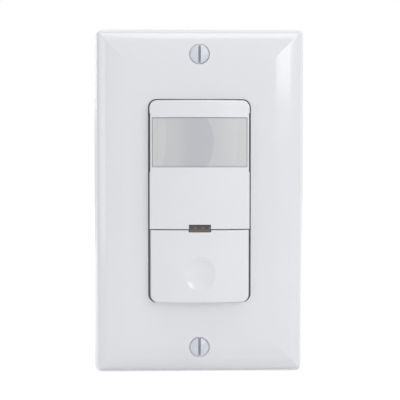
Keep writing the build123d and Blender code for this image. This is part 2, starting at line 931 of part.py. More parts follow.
def upright(radius, low, high, y):
    """A cylinder along Z on the relay's centre line."""
    return Pos(relay_x, y, (low + high) / 2) * Cylinder(radius, high - low)


def make_relay_coil():
    flange_top = coil_bottom + 2 * relay_flange_thickness + relay_coil_length
    coil = upright(relay_coil_radius, coil_bottom, flange_top, coil_y)
    coil += upright(relay_flange_radius, coil_bottom, coil_bottom + relay_flange_thickness, coil_y)
    coil += upright(relay_flange_radius, flange_top - relay_flange_thickness, flange_top, coil_y)
    return coil - upright(relay_core_radius + slip_fit, coil_bottom - past, flange_top + past, coil_y)


def make_relay_yoke():
    half = relay_yoke_width / 2
    x_range = (relay_x - half, relay_x + half)
    base_y = power_front - relay_base
    foot = block(x_range, (yoke_front, base_y), (coil_bottom - relay_yoke_thickness, coil_bottom))
    arm_y = (yoke_front, yoke_front + relay_yoke_thickness)
    arm = block(x_range, arm_y, (coil_bottom - relay_yoke_thickness, yoke_top))
    yoke = foot + arm + upright(relay_core_radius, coil_bottom - join, core_end, coil_y)
    for hand in (-1, 1):
        ear_x = sorted((relay_x + hand * half, relay_x + hand * (half - relay_ear_thickness)))
        ear_top = armature_z + armature_pin_radius + relay_ear_margin
        yoke += block(ear_x, arm_y, (yoke_top - join, ear_top))
    bore = Circle(armature_pin_radius + slip_fit)
    return yoke - sideways(bore, relay_x - half - past, relay_x + half + past, armature_y, armature_z)


def make_relay_armature():
    half = relay_yoke_width / 2 - relay_ear_thickness - armature_side_gap
    plate_y = (armature_y - relay_yoke_thickness / 2, coil_y + relay_coil_radius + armature_overhang)
    plate_z = (armature_z - armature_thickness / 2, armature_z + armature_thickness / 2)
    plate = block((relay_x - half, relay_x + half), plate_y, plate_z)
    reach = relay_yoke_width / 2 - slip_fit
    pin = Circle(armature_pin_radius)
    return plate + sideways(pin, relay_x - reach, relay_x + reach, armature_y, armature_z)


# Passive parts on the power board
def make_film_capacitor():
    face = RectangleRounded(film_capacitor_width, film_capacitor_length, film_capacitor_corner)
    front = power_front - film_capacitor_height
    return across(face, front, power_front, film_capacitor_x, film_capacitor_z)


def make_filter_capacitor():
    front = power_front - can_height
    can = across(Circle(can_radius), front, power_front, can_x, can_z)
    groove_ring = Circle(can_radius + past) - Circle(can_radius - can_groove_depth)
    groove_front = front + can_groove_start
    return can - across(groove_ring, groove_front, groove_front + can_groove_width, can_x, can_z)


def make_varistor():
    centre_y = power_front - lead_length - varistor_radius
    disc = Pos(varistor_x, centre_y, varistor_z) * Cylinder(varistor_radius, varistor_thickness)
    for hand in (-1, 1):
        x = varistor_x + hand * varistor_radius / 2
        disc += across(Circle(lead_radius), centre_y, power_front, x, varistor_z)
    return disc


def make_fuse_resistor():
    y = power_front - resistor_lift - resistor_radius
    half = resistor_length / 2
    wire = half + resistor_wire
    body = sideways(Circle(resistor_radius), resistor_x - half, resistor_x + half, y, resistor_z)
    body += sideways(Circle(lead_radius), resistor_x - wire, resistor_x + wire, y, resistor_z)
    for hand in (-1, 1):
        x = resistor_x + hand * (wire - lead_radius)
        body += across(Circle(lead_radius), y, power_front, x, resistor_z)
    return body


def make_choke():
    front = power_front - choke_height
    choke = across(Circle(choke_neck), front, power_front, choke_x, choke_z)
    choke += across(Circle(choke_radius), front, front + choke_flange, choke_x, choke_z)
    return choke + across(Circle(choke_radius), power_front - choke_flange, power_front, choke_x, choke_z)


def make_rectifier_diodes():
    diodes = []
    for i in range(diode_count):
        x = diode_x + (i - (diode_count - 1) / 2) * diode_pitch
        centre = Pos(x, power_front - diode_radius, diode_z)
        diodes.append(centre * Cylinder(diode_radius, diode_length))
    return group(diodes)


# Rear housing and its screws
def pocket_block(hand, z, margin, outer_x):
    """The recess for one terminal in the rear housing's side, grown by a margin."""
    inner = hand * (pocket_floor_x - margin)
    half = pocket_width / 2 + margin
    y_range = (pocket_front - margin, pocket_front + pocket_length + margin)
    return block(sorted((inner, hand * outer_x)), y_range, (z - half, z + half))


def make_rear_housing():
    shell = across(RectangleRounded(rear_width, rear_height, rear_corner), rear_front, rear_back)
    back_edges = shell.edges().filter_by(lambda e: abs(e.center().Y - rear_back) < near)
    shell = fillet(back_edges, rear_edge)
    cavity_outline = RectangleRounded(
        rear_width - 2 * rear_wall, rear_height - 2 * rear_wall, rear_corner - rear_wall / 2
    )
    cavity = across(cavity_outline, rear_front - past, rear_inside)
    for hand, z in terminal_places.values():
        cavity -= pocket_block(hand, z, pocket_wall, rear_width)
    shell -= cavity
    for hand, z in terminal_places.values():
        shell -= pocket_block(hand, z, 0, rear_width)
        inner_x = pocket_floor_x - pocket_wall - past
        floor_x = sorted((hand * inner_x, hand * (pocket_floor_x + past)))
        tail_y = (tail_front - tail_fit, tail_front + tail_thickness + tail_fit)
        half = tail_width / 2 + tail_fit
        shell -= block(floor_x, tail_y, (z - half, z + half))
        screw_hole = Circle(thread_radius + post_bore_gap)
        shell -= sideways(screw_hole, floor_x[0], floor_x[1], terminal_screw_y, z)
    for x, z in boss_places:
        shell += across(Circle(post_radius), control_back, rear_inside + join, x, z)
        shell += across(Circle(post_step_radius), power_back, rear_inside + join, x, z)
        bore = Circle(housing_screw_radius + post_bore_gap)
        shell -= across(bore, control_back - past, rear_back + past, x, z)
        head_hole = Circle(housing_head_radius + housing_head_gap)
        shell -= across(head_hole, rear_back - housing_head_sink, rear_back + past, x, z)
    return shell


def make_housing_screws():
    seat = rear_back - housing_head_sink
    head_back = seat + housing_head_height
    end = control_front - pilot_depth + housing_screw_end_gap
    screws = []
    for x, z in boss_places:
        screw = across(Circle(housing_screw_radius), end, seat, x, z)
        screw += across(Circle(housing_head_radius), seat, head_back, x, z)
        cross = Rectangle(cross_width, cross_length) + Rectangle(cross_length, cross_width)
        screws.append(screw - across(cross, head_back - cross_depth, head_back + past, x, z))
    return group(screws)


# Wire terminals
def terminal_plate(hand, z):
    outer = pocket_floor_x + terminal_thickness
    y_mid = pocket_front + pocket_length / 2
    y_range = (y_mid - terminal_length / 2, y_mid + terminal_length / 2)
    half = terminal_width / 2
    plate = block(sorted((hand * pocket_floor_x, hand * outer)), y_range, (z - half, z + half))
    hole = Circle(neck_radius + screw_fit)
    plate -= sideways(hole, min(0, hand * 2 * outer), max(0, hand * 2 * outer), terminal_screw_y, z)
    leg_z = (z - tail_width / 2, z + tail_width / 2)
    leg_x = sorted((hand * tail_inner_x, hand * outer))
    plate += block(leg_x, (tail_front, tail_front + tail_thickness), leg_z)
    drop_x = sorted((hand * tail_inner_x, hand * (tail_inner_x + tail_thickness)))
    return plate + block(drop_x, (tail_front, power_back + tail_end), leg_z)


def terminal_screw(hand, z):
    seat = pocket_floor_x + terminal_thickness + terminal_head_gap
    head_front = -seat - terminal_head_height
    neck_end = -pocket_floor_x + screw_fit
    end = -seat + terminal_screw_length
    screw = truss_screw(terminal_head_radius, neck_radius, head_front, -seat, neck_end, end)
    screw -= screw_slot(truss_slot_width, truss_slot_depth, head_front, 2 * terminal_head_radius, 0)
    return Pos(0, terminal_screw_y, z) * Rot(0, 0, hand * 90) * screw


nodes = {
    "wall_plate": make_wall_plate(),
    "wall_plate_screws": make_wall_plate_screws(),
    "mounting_strap": make_mounting_strap(),
    "box_mounting_screws": make_box_mounting_screws(),
    "screw_retainers": make_screw_retainers(),
    "ground_screw": make_ground_screw(),
    "front_housing": make_front_housing(),
    "fresnel_lens": make_fresnel_lens(),
    "lens_frame": make_lens_frame(),
    "push_button": make_push_button(),
    "button_plunger": make_button_plunger(),
    "tact_switch_stem": make_tact_switch_stem(),
    "tact_switch_body": make_tact_switch_body(),
    "status_window": make_status_window(),
    "status_lamps": make_status_lamps(),
    "photocell": make_photocell(),
    "time_dial": setting_dial(*dial_places[0]),
    "light_dial": setting_dial(*dial_places[1]),
    "range_dial": setting_dial(*dial_places[2]),
    "trimmer_bodies": make_trimmer_bodies(),
    "pir_sensor": make_pir_sensor(),
    "pir_window": make_pir_window(),
    "control_board": make_control_board(),
    "control_chip": board_chip(-chip_x),
    "amplifier_chip": board_chip(chip_x),
    "board_header": make_board_header(),
    "power_board": make_power_board(),
    "relay_cover": make_relay_cover(),
    "relay_base": make_relay_base(),
    "relay_coil": make_relay_coil(),
    "relay_yoke": make_relay_yoke(),
    "relay_armature": make_relay_armature(),
    "film_capacitor": make_film_capacitor(),
    "filter_capacitor": make_filter_capacitor(),
    "varistor": make_varistor(),
    "fuse_resistor": make_fuse_resistor(),
    "choke": make_choke(),
    "rectifier_diodes": make_rectifier_diodes(),
    "rear_housing": make_rear_housing(),
    "housing_screws": make_housing_screws(),
    "neutral_terminal_screw": terminal_screw(*terminal_places["neutral_terminal"]),
    "hot_terminal_screws": group(
        [terminal_screw(*terminal_places[name]) for name in ("line_terminal", "load_terminal")]
    ),
}
for name, place in terminal_places.items():
    nodes[name] = terminal_plate(*place)

for name, shape in nodes.items():
    export_step(shape, f"parts/{name}.step")
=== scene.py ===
"""Looks and stage for a wall-switch occupancy sensor, laid out as a Blender add-on.

Lengths are in metres in the CAD frame: X to the right, Y into the wall, Z up.
"""

import json
import math

import bmesh
import bpy
from bpy.props import FloatProperty, FloatVectorProperty, PointerProperty
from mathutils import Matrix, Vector


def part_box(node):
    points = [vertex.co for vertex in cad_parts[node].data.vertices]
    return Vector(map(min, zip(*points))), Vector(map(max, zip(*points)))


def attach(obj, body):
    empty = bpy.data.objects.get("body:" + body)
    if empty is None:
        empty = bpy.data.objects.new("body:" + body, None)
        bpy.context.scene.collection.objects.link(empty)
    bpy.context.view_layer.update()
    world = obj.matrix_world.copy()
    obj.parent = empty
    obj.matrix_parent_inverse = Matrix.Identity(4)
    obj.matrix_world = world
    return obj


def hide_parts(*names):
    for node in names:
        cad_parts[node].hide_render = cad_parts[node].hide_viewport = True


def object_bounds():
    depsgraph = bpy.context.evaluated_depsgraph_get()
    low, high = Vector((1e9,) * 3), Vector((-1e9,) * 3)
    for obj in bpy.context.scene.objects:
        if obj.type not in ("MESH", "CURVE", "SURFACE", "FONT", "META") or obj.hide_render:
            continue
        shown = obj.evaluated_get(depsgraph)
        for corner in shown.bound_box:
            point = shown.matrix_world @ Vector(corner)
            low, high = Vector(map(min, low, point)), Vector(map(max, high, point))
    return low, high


bl_info = {
    "name": "Occupancy sensor",
    "version": (1, 0, 0),
    "blender": (4, 5, 0),
    "location": "3D View > Sidebar > Sensor",
    "description": "Dresses the packed occupancy sensor and sets its stage",
    "category": "Object",
}

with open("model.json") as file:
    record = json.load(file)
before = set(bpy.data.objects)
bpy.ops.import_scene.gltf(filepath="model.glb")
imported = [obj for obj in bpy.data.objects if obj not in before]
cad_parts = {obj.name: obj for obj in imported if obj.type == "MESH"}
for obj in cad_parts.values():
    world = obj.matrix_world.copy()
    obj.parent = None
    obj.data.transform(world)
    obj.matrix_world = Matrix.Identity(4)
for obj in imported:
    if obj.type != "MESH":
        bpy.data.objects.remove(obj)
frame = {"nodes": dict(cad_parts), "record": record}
CAD_BOX = [list(corner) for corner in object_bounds()]

MM = 0.001

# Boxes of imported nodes, whose sizes the finer pieces keep
PLATE_LOW, PLATE_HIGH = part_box("wall_plate")
SCREW_LOW, SCREW_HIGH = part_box("wall_plate_screws")
BUTTON_LOW, BUTTON_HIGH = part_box("push_button")
LENS_LOW, LENS_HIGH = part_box("fresnel_lens")
LENS_MIDDLE = (LENS_LOW.z + LENS_HIGH.z) / 2
LENS_HALF = (LENS_HIGH.z - LENS_LOW.z) / 2

# Depths along Y; the face is a drum about an upright axis
PLATE_FRONT = PLATE_LOW.y
PLATE_SKIN = 2.0 * MM
PLATE_INSIDE = PLATE_FRONT + PLATE_SKIN
FLANGE_FRONT = PLATE_INSIDE + 0.3 * MM
STRAP_FRONT = FLANGE_FRONT + 1.6 * MM
BUTTON_BACK = FLANGE_FRONT - 1.1 * MM
WINDOW_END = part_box("status_window")[1].y
CROWN_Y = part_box("front_housing")[0].y
FACE_HALF = 16.4 * MM
FACE_BULGE = 1.95 * MM
FACE_RADIUS = (FACE_HALF**2 + FACE_BULGE**2) / (2 * FACE_BULGE)

# The plate screws' height on the plate, and how fast their cones and sinks widen
SCREW_Z = 48.42 * MM
HEAD_SLOPE = math.tan(math.radians(41))

# The status window's half width and its ends
WINDOW_HALF = 3.55 * MM
WINDOW_TOP = -7.6 * MM
WINDOW_BOTTOM = -9.9 * MM

# Half sizes of the plate's opening, just outside its walls
OPENING_REACH_X = 17.3 * MM
OPENING_REACH_Z = 34.0 * MM

# Steps of a quarter turn at corners and edges, and of a full turn
CORNER_STEPS = 8
EDGE_STEPS = 4
TURN_STEPS = 64


def srgb(red, green, blue):
    """A linear colour from the 0 to 255 values that a picture shows."""
    shares = (value / 255 for value in (red, green, blue))
    return tuple(s / 12.92 if s <= 0.04045 else ((s + 0.055) / 1.055) ** 2.4 for s in shares)


def length(name, description, default):
    return FloatProperty(
        name=name, description=description, default=default, min=0.0, subtype="DISTANCE", unit="LENGTH"
    )


def share(name, description, default):
    return FloatProperty(
        name=name, description=description, default=default, min=0.0, max=1.0, subtype="FACTOR"
    )


def power(name, description, default):
    return FloatProperty(name=name, description=description, default=default, unit="POWER")


def colour(name, description, default):
    return FloatVectorProperty(
        name=name, description=description, default=default, min=0.0, max=1.0, size=3, subtype="COLOR"
    )


# Settings that a user may change


class SENSOR_PG_plate(bpy.types.PropertyGroup):
    """The wall plate and its two screws."""

    tone: colour("Plate colour", "Moulded colour of the wall plate", srgb(225, 226, 230))
    roughness: share("Plate roughness", "How dull the plate's surface is", 0.28)
    rim_round: length("Rim round", "Softness of the bend between the plate's side and its bevel", 0.9 * MM)
    bevel_round: length("Bevel round", "Softness of the bend between bevel and slope", 1.2 * MM)
    slope_round: length("Slope round", "Softness of the bend between slope and flat", 2.2 * MM)
    opening_width: length("Opening width", "Width of the hole for the device", 33.84 * MM)
    opening_height: length("Opening height", "Height of the hole for the device", 67.04 * MM)
    opening_rise: length("Opening rise", "How far the hole's middle lies above the plate's", 0.1 * MM)
    opening_round: length("Opening edge", "Radius of the opening's front edge", 0.13 * MM)
    screw_tone: colour("Screw paint", "Paint on the plate screws", srgb(214, 219, 229))
    screw_radius: length("Screw head radius", "Radius of the oval head", 3.12 * MM)
    screw_slot: length("Screw slot width", "Width of the slot in the oval head", 0.8 * MM)


class SENSOR_PG_face(bpy.types.PropertyGroup):
    """The device's face: panel, lens, window and button."""

    panel_tone: colour("Panel colour", "Moulded colour of the upper panel", srgb(226, 227, 231))
    button_tone: colour("Button colour", "Moulded colour of the push button", srgb(226, 227, 231))
    lens_tone: colour("Lens colour", "Milky colour of the lens near its ends", srgb(206, 207, 207))
    # Painted shade: the lens's darker colour where the sensor lies behind it
    lens_core_shade: colour(
        "Lens core colour", "Darker colour where the sensor lies behind the lens", srgb(188, 190, 195)
    )
    window_tone: colour("Window colour", "Smoke colour of the status window", srgb(54, 52, 56))
    window_low: colour("Window low colour", "Warmer colour low in the status window", srgb(106, 84, 69))
    edge_round: length("Edge round", "Radius of the face's front edges", 0.45 * MM)
    dimple_half_width: length(
        "Dimple half width", "Half the width of the button's scooped dimple", 5.2 * MM
    )
    dimple_half_height: length("Dimple half height", "Half the height of the dimple", 6.1 * MM)
    dimple_depth: length("Dimple depth", "Depth of the dimple", 0.95 * MM)
    dimple_z: FloatProperty(
        name="Dimple centre", description="Height of the dimple's centre", default=-23.4 * MM, unit="LENGTH"
    )


class SENSOR_PG_stage(bpy.types.PropertyGroup):
    """Floor, lamps and camera."""

    floor_tone: colour("Floor colour", "Colour of the plain floor", (0.92, 0.92, 0.92))
    key_power: power("Key lamp", "Power of the lamp at upper right", 0.47)
    side_power: power("Side lamp", "Power of the lamp far right", 0.02)
    face_power: power("Face lamp", "Power of the small near lamp", 0.18)
    left_power: power("Left strip", "Power of the tall lamp left", 0.14)
    top_power: power("Top lamp", "Power of the lamp above", 0.48)
    back_power: power("Back lamp", "Power of the lamp behind", 0.6)
    sky: FloatProperty(
        name="Sky level", description="Even light from all sides", default=0.64, min=0.0, max=2.0
    )
    camera_lens: FloatProperty(
        name="Lens", description="Focal length of the camera", default=90.15, min=1.0, unit="CAMERA"
    )


# Shader groups that several materials share


def feed(tree, node, inputs=None, **labels):
    """Sets inputs by number, or by label with _ for a space; a value may be the socket that feeds it."""
    inputs = dict(inputs or {})
    inputs.update((label.replace("_", " "), value) for label, value in labels.items())
    for key, value in inputs.items():
        if isinstance(value, bpy.types.NodeSocket):
            tree.links.new(value, node.inputs[key])
        else:
            node.inputs[key].default_value = value


def add_node(tree, kind, inputs=None, **settings):
    """A new node with its settings and inputs."""
    node = tree.nodes.new(kind)
    for key, value in settings.items():
        setattr(node, key, value)
    feed(tree, node, inputs)
    return node


def math_node(tree, operation, *values, clamp=False):
    inputs = dict(enumerate(values))
    return add_node(tree, "ShaderNodeMath", inputs, operation=operation, use_clamp=clamp).outputs["Value"]


def plus(tree, first, second):
    return math_node(tree, "ADD", first, second)


def times(tree, first, second):
    return math_node(tree, "MULTIPLY", first, second)


def away(tree, value, place=0.0):
    """How far a value is from a place."""
    return math_node(tree, "ABSOLUTE", plus(tree, value, -place))


def ramp(tree, value, low, high, to_low=0.0, to_high=1.0):
    """Maps a value's range from low..high to another, with soft ends."""
    inputs = {"Value": value, "From Min": low, "From Max": high, "To Min": to_low, "To Max": to_high}
    return add_node(tree, "ShaderNodeMapRange", inputs, interpolation_type="SMOOTHSTEP").outputs["Result"]


def new_group(name, inputs, outputs):
    """An empty shader group with its sockets; also its inputs' sockets and its output node."""
    tree = bpy.data.node_groups.new(name, "ShaderNodeTree")
    for label, kind, value in inputs:
        socket = tree.interface.new_socket(label, in_out="INPUT", socket_type=kind)
        socket.default_value = value
    for label, kind in outputs:
        tree.interface.new_socket(label, in_out="OUTPUT", socket_type=kind)
    return tree, tree.nodes.new("NodeGroupInput").outputs, tree.nodes.new("NodeGroupOutput")


def place_along(tree):
    """Object coordinates, which are metres in the CAD frame and ride with a moving piece."""
    return add_node(tree, "ShaderNodeTexCoord").outputs["Object"]


def places(tree):
    """The same coordinates as three single numbers, X, Y and Z."""
    return add_node(tree, "ShaderNodeSeparateXYZ", {"Vector": place_along(tree)}).outputs


def noise(tree, vector, scale, detail=3.0, roughness=0.5, distortion=0.0):
    inputs = {
        "Vector": vector, "Scale": scale, "Detail": detail, "Roughness": roughness, "Distortion": distortion
    }
    return add_node(tree, "ShaderNodeTexNoise", inputs).outputs["Fac"]


def make_moulded_group():
    """Fine mould texture, slow colour drift, and marks from handling."""
    tree, given, result = new_group(
        "moulded_skin",
        [("Grain Size", "NodeSocketFloat", 0.0004), ("Drift Size", "NodeSocketFloat", 0.02)],
        [("Grain", "NodeSocketFloat"), ("Drift", "NodeSocketFloat"), ("Marks", "NodeSocketFloat")],
    )
    where = place_along(tree)
    grain_scale = math_node(tree, "DIVIDE", 1.0, given["Grain Size"])
    drift_scale = math_node(tree, "DIVIDE", 1.0, given["Drift Size"])
    pebble = add_node(
        tree, "ShaderNodeTexVoronoi", {"Vector": where, "Scale": grain_scale}, feature="SMOOTH_F1"
    ).outputs["Distance"]
    grain = math_node(tree, "MULTIPLY_ADD", pebble, 0.6, noise(tree, where, grain_scale, 2.0))
    drift = ramp(tree, noise(tree, where, drift_scale, 3.0, 0.55, 0.4), 0.3, 0.7)
    marks = ramp(tree, noise(tree, where, 260.0, 4.0, 0.6, 0.3), 0.42, 0.72)
    feed(tree, result, Grain=grain, Drift=drift, Marks=marks)
    return tree


def make_edge_group():
    """Rounded normals at hard edges, and a mask of the edges."""
    tree, given, result = new_group(
        "soft_edges",
        [("Radius", "NodeSocketFloat", 0.0002)],
        [("Normal", "NodeSocketVector"), ("Edge", "NodeSocketFloat")],
    )
    bent = add_node(tree, "ShaderNodeBevel", {"Radius": given["Radius"]}, samples=4).outputs["Normal"]
    flat = add_node(tree, "ShaderNodeNewGeometry").outputs["Normal"]
    dot = add_node(tree, "ShaderNodeVectorMath", {0: bent, 1: flat}, operation="DOT_PRODUCT").outputs["Value"]
    feed(tree, result, Normal=bent, Edge=ramp(tree, dot, 0.995, 0.8))
    return tree


def make_worked_metal_group():
    """Drawn or turned lines, and a stain from age."""
    tree, given, result = new_group(
        "worked_metal",
        [("Line Size", "NodeSocketFloat", 0.0002), ("Stretch", "NodeSocketVector", (1.0, 1.0, 0.05))],
        [("Lines", "NodeSocketFloat"), ("Stain", "NodeSocketFloat")],
    )
    where = place_along(tree)
    scale = math_node(tree, "DIVIDE", 1.0, given["Line Size"])
    drawn = add_node(
        tree, "ShaderNodeVectorMath", {0: where, 1: given["Stretch"]}, operation="MULTIPLY"
    ).outputs["Vector"]
    stain = ramp(tree, noise(tree, where, 160.0, 4.0, 0.6, 0.8), 0.4, 0.72)
    feed(tree, result, Lines=noise(tree, drawn, scale, 3.0, 0.7), Stain=stain)
    return tree


def stripes(tree, where, pitch, distortion):
    """Even waves across X and across Z; a wave's pitch is a tenth of pi over its scale."""
    scale = math_node(tree, "DIVIDE", math.pi / 10, pitch)
    return [
        add_node(
            tree, "ShaderNodeTexWave", {"Vector": where, "Scale": scale, "Distortion": distortion},
            bands_direction=direction,
        ).outputs["Fac"]
        for direction in ("X", "Z")
    ]


def make_laminate_group():
    """Glass weave under a solder mask, with blocks of copper lanes, pours and small vias below it."""
    tree, given, result = new_group(
        "laminate_weave",
        [("Thread", "NodeSocketFloat", 0.0005), ("Lane", "NodeSocketFloat", 0.001)],
        [("Weave", "NodeSocketFloat"), ("Copper", "NodeSocketFloat"), ("Vias", "NodeSocketFloat")],
    )
    where = place_along(tree)
    weave = math_node(tree, "MAXIMUM", *stripes(tree, where, given["Thread"], 0.4))
    across, upright = (ramp(tree, wave, 0.4, 0.6) for wave in stripes(tree, where, given["Lane"], 0.0))

    # Square-sided blocks, each with lanes one way, lanes the other way or a full pour
    nearest, second = (
        add_node(
            tree, "ShaderNodeTexVoronoi", {"Vector": where, "Scale": 95.0, "Randomness": 0.8},
            distance="CHEBYCHEV", feature=feature,
        ).outputs
        for feature in ("F1", "F2")
    )

    # A block's colour, read as a number, says what is in it
    kind = nearest["Color"]
    turn = ramp(tree, kind, 0.44, 0.45)
    still = math_node(tree, "SUBTRACT", 1.0, turn)
    lanes = plus(tree, times(tree, across, still), times(tree, upright, turn))
    pours = math_node(tree, "MAXIMUM", lanes, ramp(tree, kind, 0.6, 0.61))
    apart = math_node(tree, "SUBTRACT", second["Distance"], nearest["Distance"])
    copper = times(tree, pours, ramp(tree, apart, 0.05, 0.09))
    holes = add_node(tree, "ShaderNodeTexVoronoi", {"Vector": where, "Scale": 210.0}).outputs["Distance"]
    feed(tree, result, Weave=weave, Copper=copper, Vias=ramp(tree, holes, 0.085, 0.06))
    return tree


GROUP_MAKERS = {
    "moulded_skin": make_moulded_group,
    "soft_edges": make_edge_group,
    "worked_metal": make_worked_metal_group,
    "laminate_weave": make_laminate_group,
}


def effect(tree, name, **inputs):
    """A shared group placed in a material, with this material's own values."""
    group = bpy.data.node_groups.get(name) or GROUP_MAKERS[name]()
    node = add_node(tree, "ShaderNodeGroup", node_tree=group)
    feed(tree, node, **inputs)
    return node.outputs


# Finishes


def new_surface(name):
    """A material with only its shader, its node tree, and that shader."""
    material = bpy.data.materials.new(name)
    material.use_nodes = True
    return material, material.node_tree, material.node_tree.nodes["Principled BSDF"]


def over(tree, factor, below, tone):
    """A tone laid by a mask over another tone, or over the colour from a socket."""
    if not isinstance(below, bpy.types.NodeSocket):
        below = (*below, 1.0)
    return add_node(
        tree, "ShaderNodeMix", {0: factor, 6: below, 7: (*tone, 1.0)}, data_type="RGBA"
    ).outputs[2]


def darker(tone, factor):
    return tuple(value * factor for value in tone)


def brighter(tone, factor, most):
    return tuple(min(most, value * factor) for value in tone)


def relief(tree, shader, height, distance, strength, edge_radius):
    """Bump on top of rounded edges; gives the mask of the edges."""
    edges = effect(tree, "soft_edges", Radius=edge_radius)
    bump = add_node(
        tree, "ShaderNodeBump",
        {"Height": height, "Distance": distance, "Strength": strength, "Normal": edges["Normal"]},
    )
    feed(tree, shader, Normal=bump.outputs["Normal"])
    return edges["Edge"]


def gap_painted_shade(tree):
    """A mask of what lies behind the plate's face and within its opening, where painted shade darkens the
    gap.
    """
    where = places(tree)
    mask = ramp(tree, where["Y"], PLATE_FRONT + 0.35 * MM, PLATE_FRONT + 1.0 * MM)
    for axis, reach in (("X", OPENING_REACH_X), ("Z", OPENING_REACH_Z)):
        mask = times(tree, mask, ramp(tree, away(tree, where[axis]), reach + 0.1 * MM, reach))
    return mask


def moulded(
    name, tone, roughness=0.45, grain=0.35, depth=0.008, coat=0.0, drift=0.965, edge=0.15, marks=0.12,
    edge_highlight=1.05, gap_shade=0.0, coat_roughness=0.12
):
    """Injection-moulded plastic. Grain, depth and edge are in millimetres."""
    material, tree, shader = new_surface(name)
    skin = effect(tree, "moulded_skin", Grain_Size=grain * MM, Drift_Size=12 * MM)
    edges = relief(tree, shader, skin["Grain"], depth * MM, 0.35, edge * MM)
    body = over(tree, skin["Drift"], darker(tone, drift), tone)
    # Painted highlight: edges drawn lighter than the moulded tone
    body = over(tree, edges, body, brighter(tone, edge_highlight, 0.95))
    # Painted shade: parts behind the plate's face and within its opening drawn near black
    if gap_shade:
        body = over(tree, times(tree, gap_painted_shade(tree), gap_shade), body, darker(tone, 0.05))
    rough = ramp(tree, skin["Marks"], 0.0, 1.0, roughness - marks / 3, roughness + marks * 2 / 3)
    feed(tree, shader, Base_Color=body, Roughness=rough, Coat_Weight=coat, Coat_Roughness=coat_roughness)
    return material


def plated(name, tone, roughness=0.32, line=0.12, stretch=(1.0, 1.0, 0.05), stain=0.78):
    """Drawn, plated or turned metal. The line is in millimetres."""
    material, tree, shader = new_surface(name)
    worked = effect(tree, "worked_metal", Line_Size=line * MM, Stretch=stretch)
    edges = relief(tree, shader, worked["Lines"], 0.01 * MM, 0.4, 0.12 * MM)
    body = over(tree, worked["Stain"], tone, darker(tone, stain))
    # Edges lighter: partly rubbed bright metal, partly a painted highlight
    body = over(tree, edges, body, brighter(tone, 1.15, 1.0))
    rough = ramp(tree, worked["Stain"], 0.0, 1.0, roughness, roughness + 0.16)
    feed(tree, shader, Base_Color=body, Roughness=rough, Metallic=1.0)
    return material


def slot_painted_shade(tree):
    """A mask of the upright slots in the plate screws, below their mouths, where painted shade darkens them.
    """
    where = places(tree)
    within = ramp(tree, away(tree, where["X"]), 0.5 * MM, 0.42 * MM)
    return times(tree, within, ramp(tree, where["Y"], SCREW_LOW.y + 0.3 * MM, SCREW_LOW.y + 0.9 * MM))


def painted(name, tone, metal=(0.55, 0.55, 0.56), roughness=0.34, worn=0.5, slot_shade=0.0):
    """Paint on metal, worn to bright metal at a few edges."""
    material, tree, shader = new_surface(name)
    skin = effect(tree, "moulded_skin", Grain_Size=0.3 * MM, Drift_Size=3 * MM)
    edges = relief(tree, shader, skin["Grain"], 0.006 * MM, 0.35, 0.1 * MM)
    wear = times(tree, effect(tree, "worked_metal")["Stain"], worn)
    chips = math_node(tree, "MULTIPLY", edges, wear, clamp=True)
    body = over(tree, skin["Drift"], darker(tone, 0.955), tone)
    body = over(tree, chips, body, metal)
    # Painted shade: the screw slots drawn darker below their mouths
    if slot_shade:
        body = over(tree, times(tree, slot_painted_shade(tree), slot_shade), body, darker(tone, 0.1))
    rough = ramp(tree, skin["Marks"], 0.0, 1.0, roughness - 0.05, roughness + 0.1)
    feed(tree, shader, Base_Color=body, Metallic=chips, Roughness=rough)
    feed(tree, shader, Coat_Weight=0.25, Coat_Roughness=0.2)
    return material


def laminate(name, tone, copper):
    """Glass laminate with a solder mask over its copper."""
    material, tree, shader = new_surface(name)
    weave = effect(tree, "laminate_weave", Thread=0.5 * MM, Lane=1.0 * MM)
    height = math_node(tree, "MULTIPLY_ADD", weave["Weave"], 0.3, weave["Copper"])
    relief(tree, shader, height, 0.02 * MM, 0.5, 0.08 * MM)
    marks = times(tree, effect(tree, "moulded_skin")["Marks"], 0.3)
    body = over(tree, weave["Copper"], darker(tone, 0.72), copper)
    body = over(tree, marks, body, darker(tone, 0.8))
    body = over(tree, weave["Vias"], body, srgb(196, 198, 190))
    rough = ramp(tree, weave["Weave"], 0.0, 1.0, 0.25, 0.35)
    feed(tree, shader, Base_Color=body, Roughness=rough, Coat_Weight=0.4)
    return material


def wound(name, tone):
    """Enamelled wire, wound along Z."""
    material, tree, shader = new_surface(name)
    turns = add_node(
        tree, "ShaderNodeTexWave", {"Vector": place_along(tree), "Scale": 800.0, "Distortion": 0.6},
        bands_direction="Z",
    ).outputs["Fac"]
    relief(tree, shader, turns, 0.06 * MM, 0.8, 0.05 * MM)
    body = over(tree, turns, darker(tone, 0.4), tone)
    rough = ramp(tree, turns, 0.0, 1.0, 0.5, 0.25)
    feed(tree, shader, Base_Color=body, Roughness=rough, Metallic=0.85)
    return material


def dark_glass(name, tone):
    """The sensor's dark filter window."""
    material, tree, shader = new_surface(name)
    skin = effect(tree, "moulded_skin", Grain_Size=0.5 * MM, Drift_Size=2 * MM)
    relief(tree, shader, skin["Grain"], 0.002 * MM, 0.3, 0.05 * MM)
    body = over(tree, skin["Drift"], darker(tone, 0.6), tone)
    rough = ramp(tree, skin["Marks"], 0.0, 1.0, 0.04, 0.16)
    feed(tree, shader, Base_Color=body, Roughness=rough, Coat_Weight=0.8)
    return material


def made_of(maker, *tones, **values):
    """Makes a finish when it is given a name; its tones are 0 to 255 values."""
    return lambda name: maker(name, *(srgb(*tone) for tone in tones), **values)


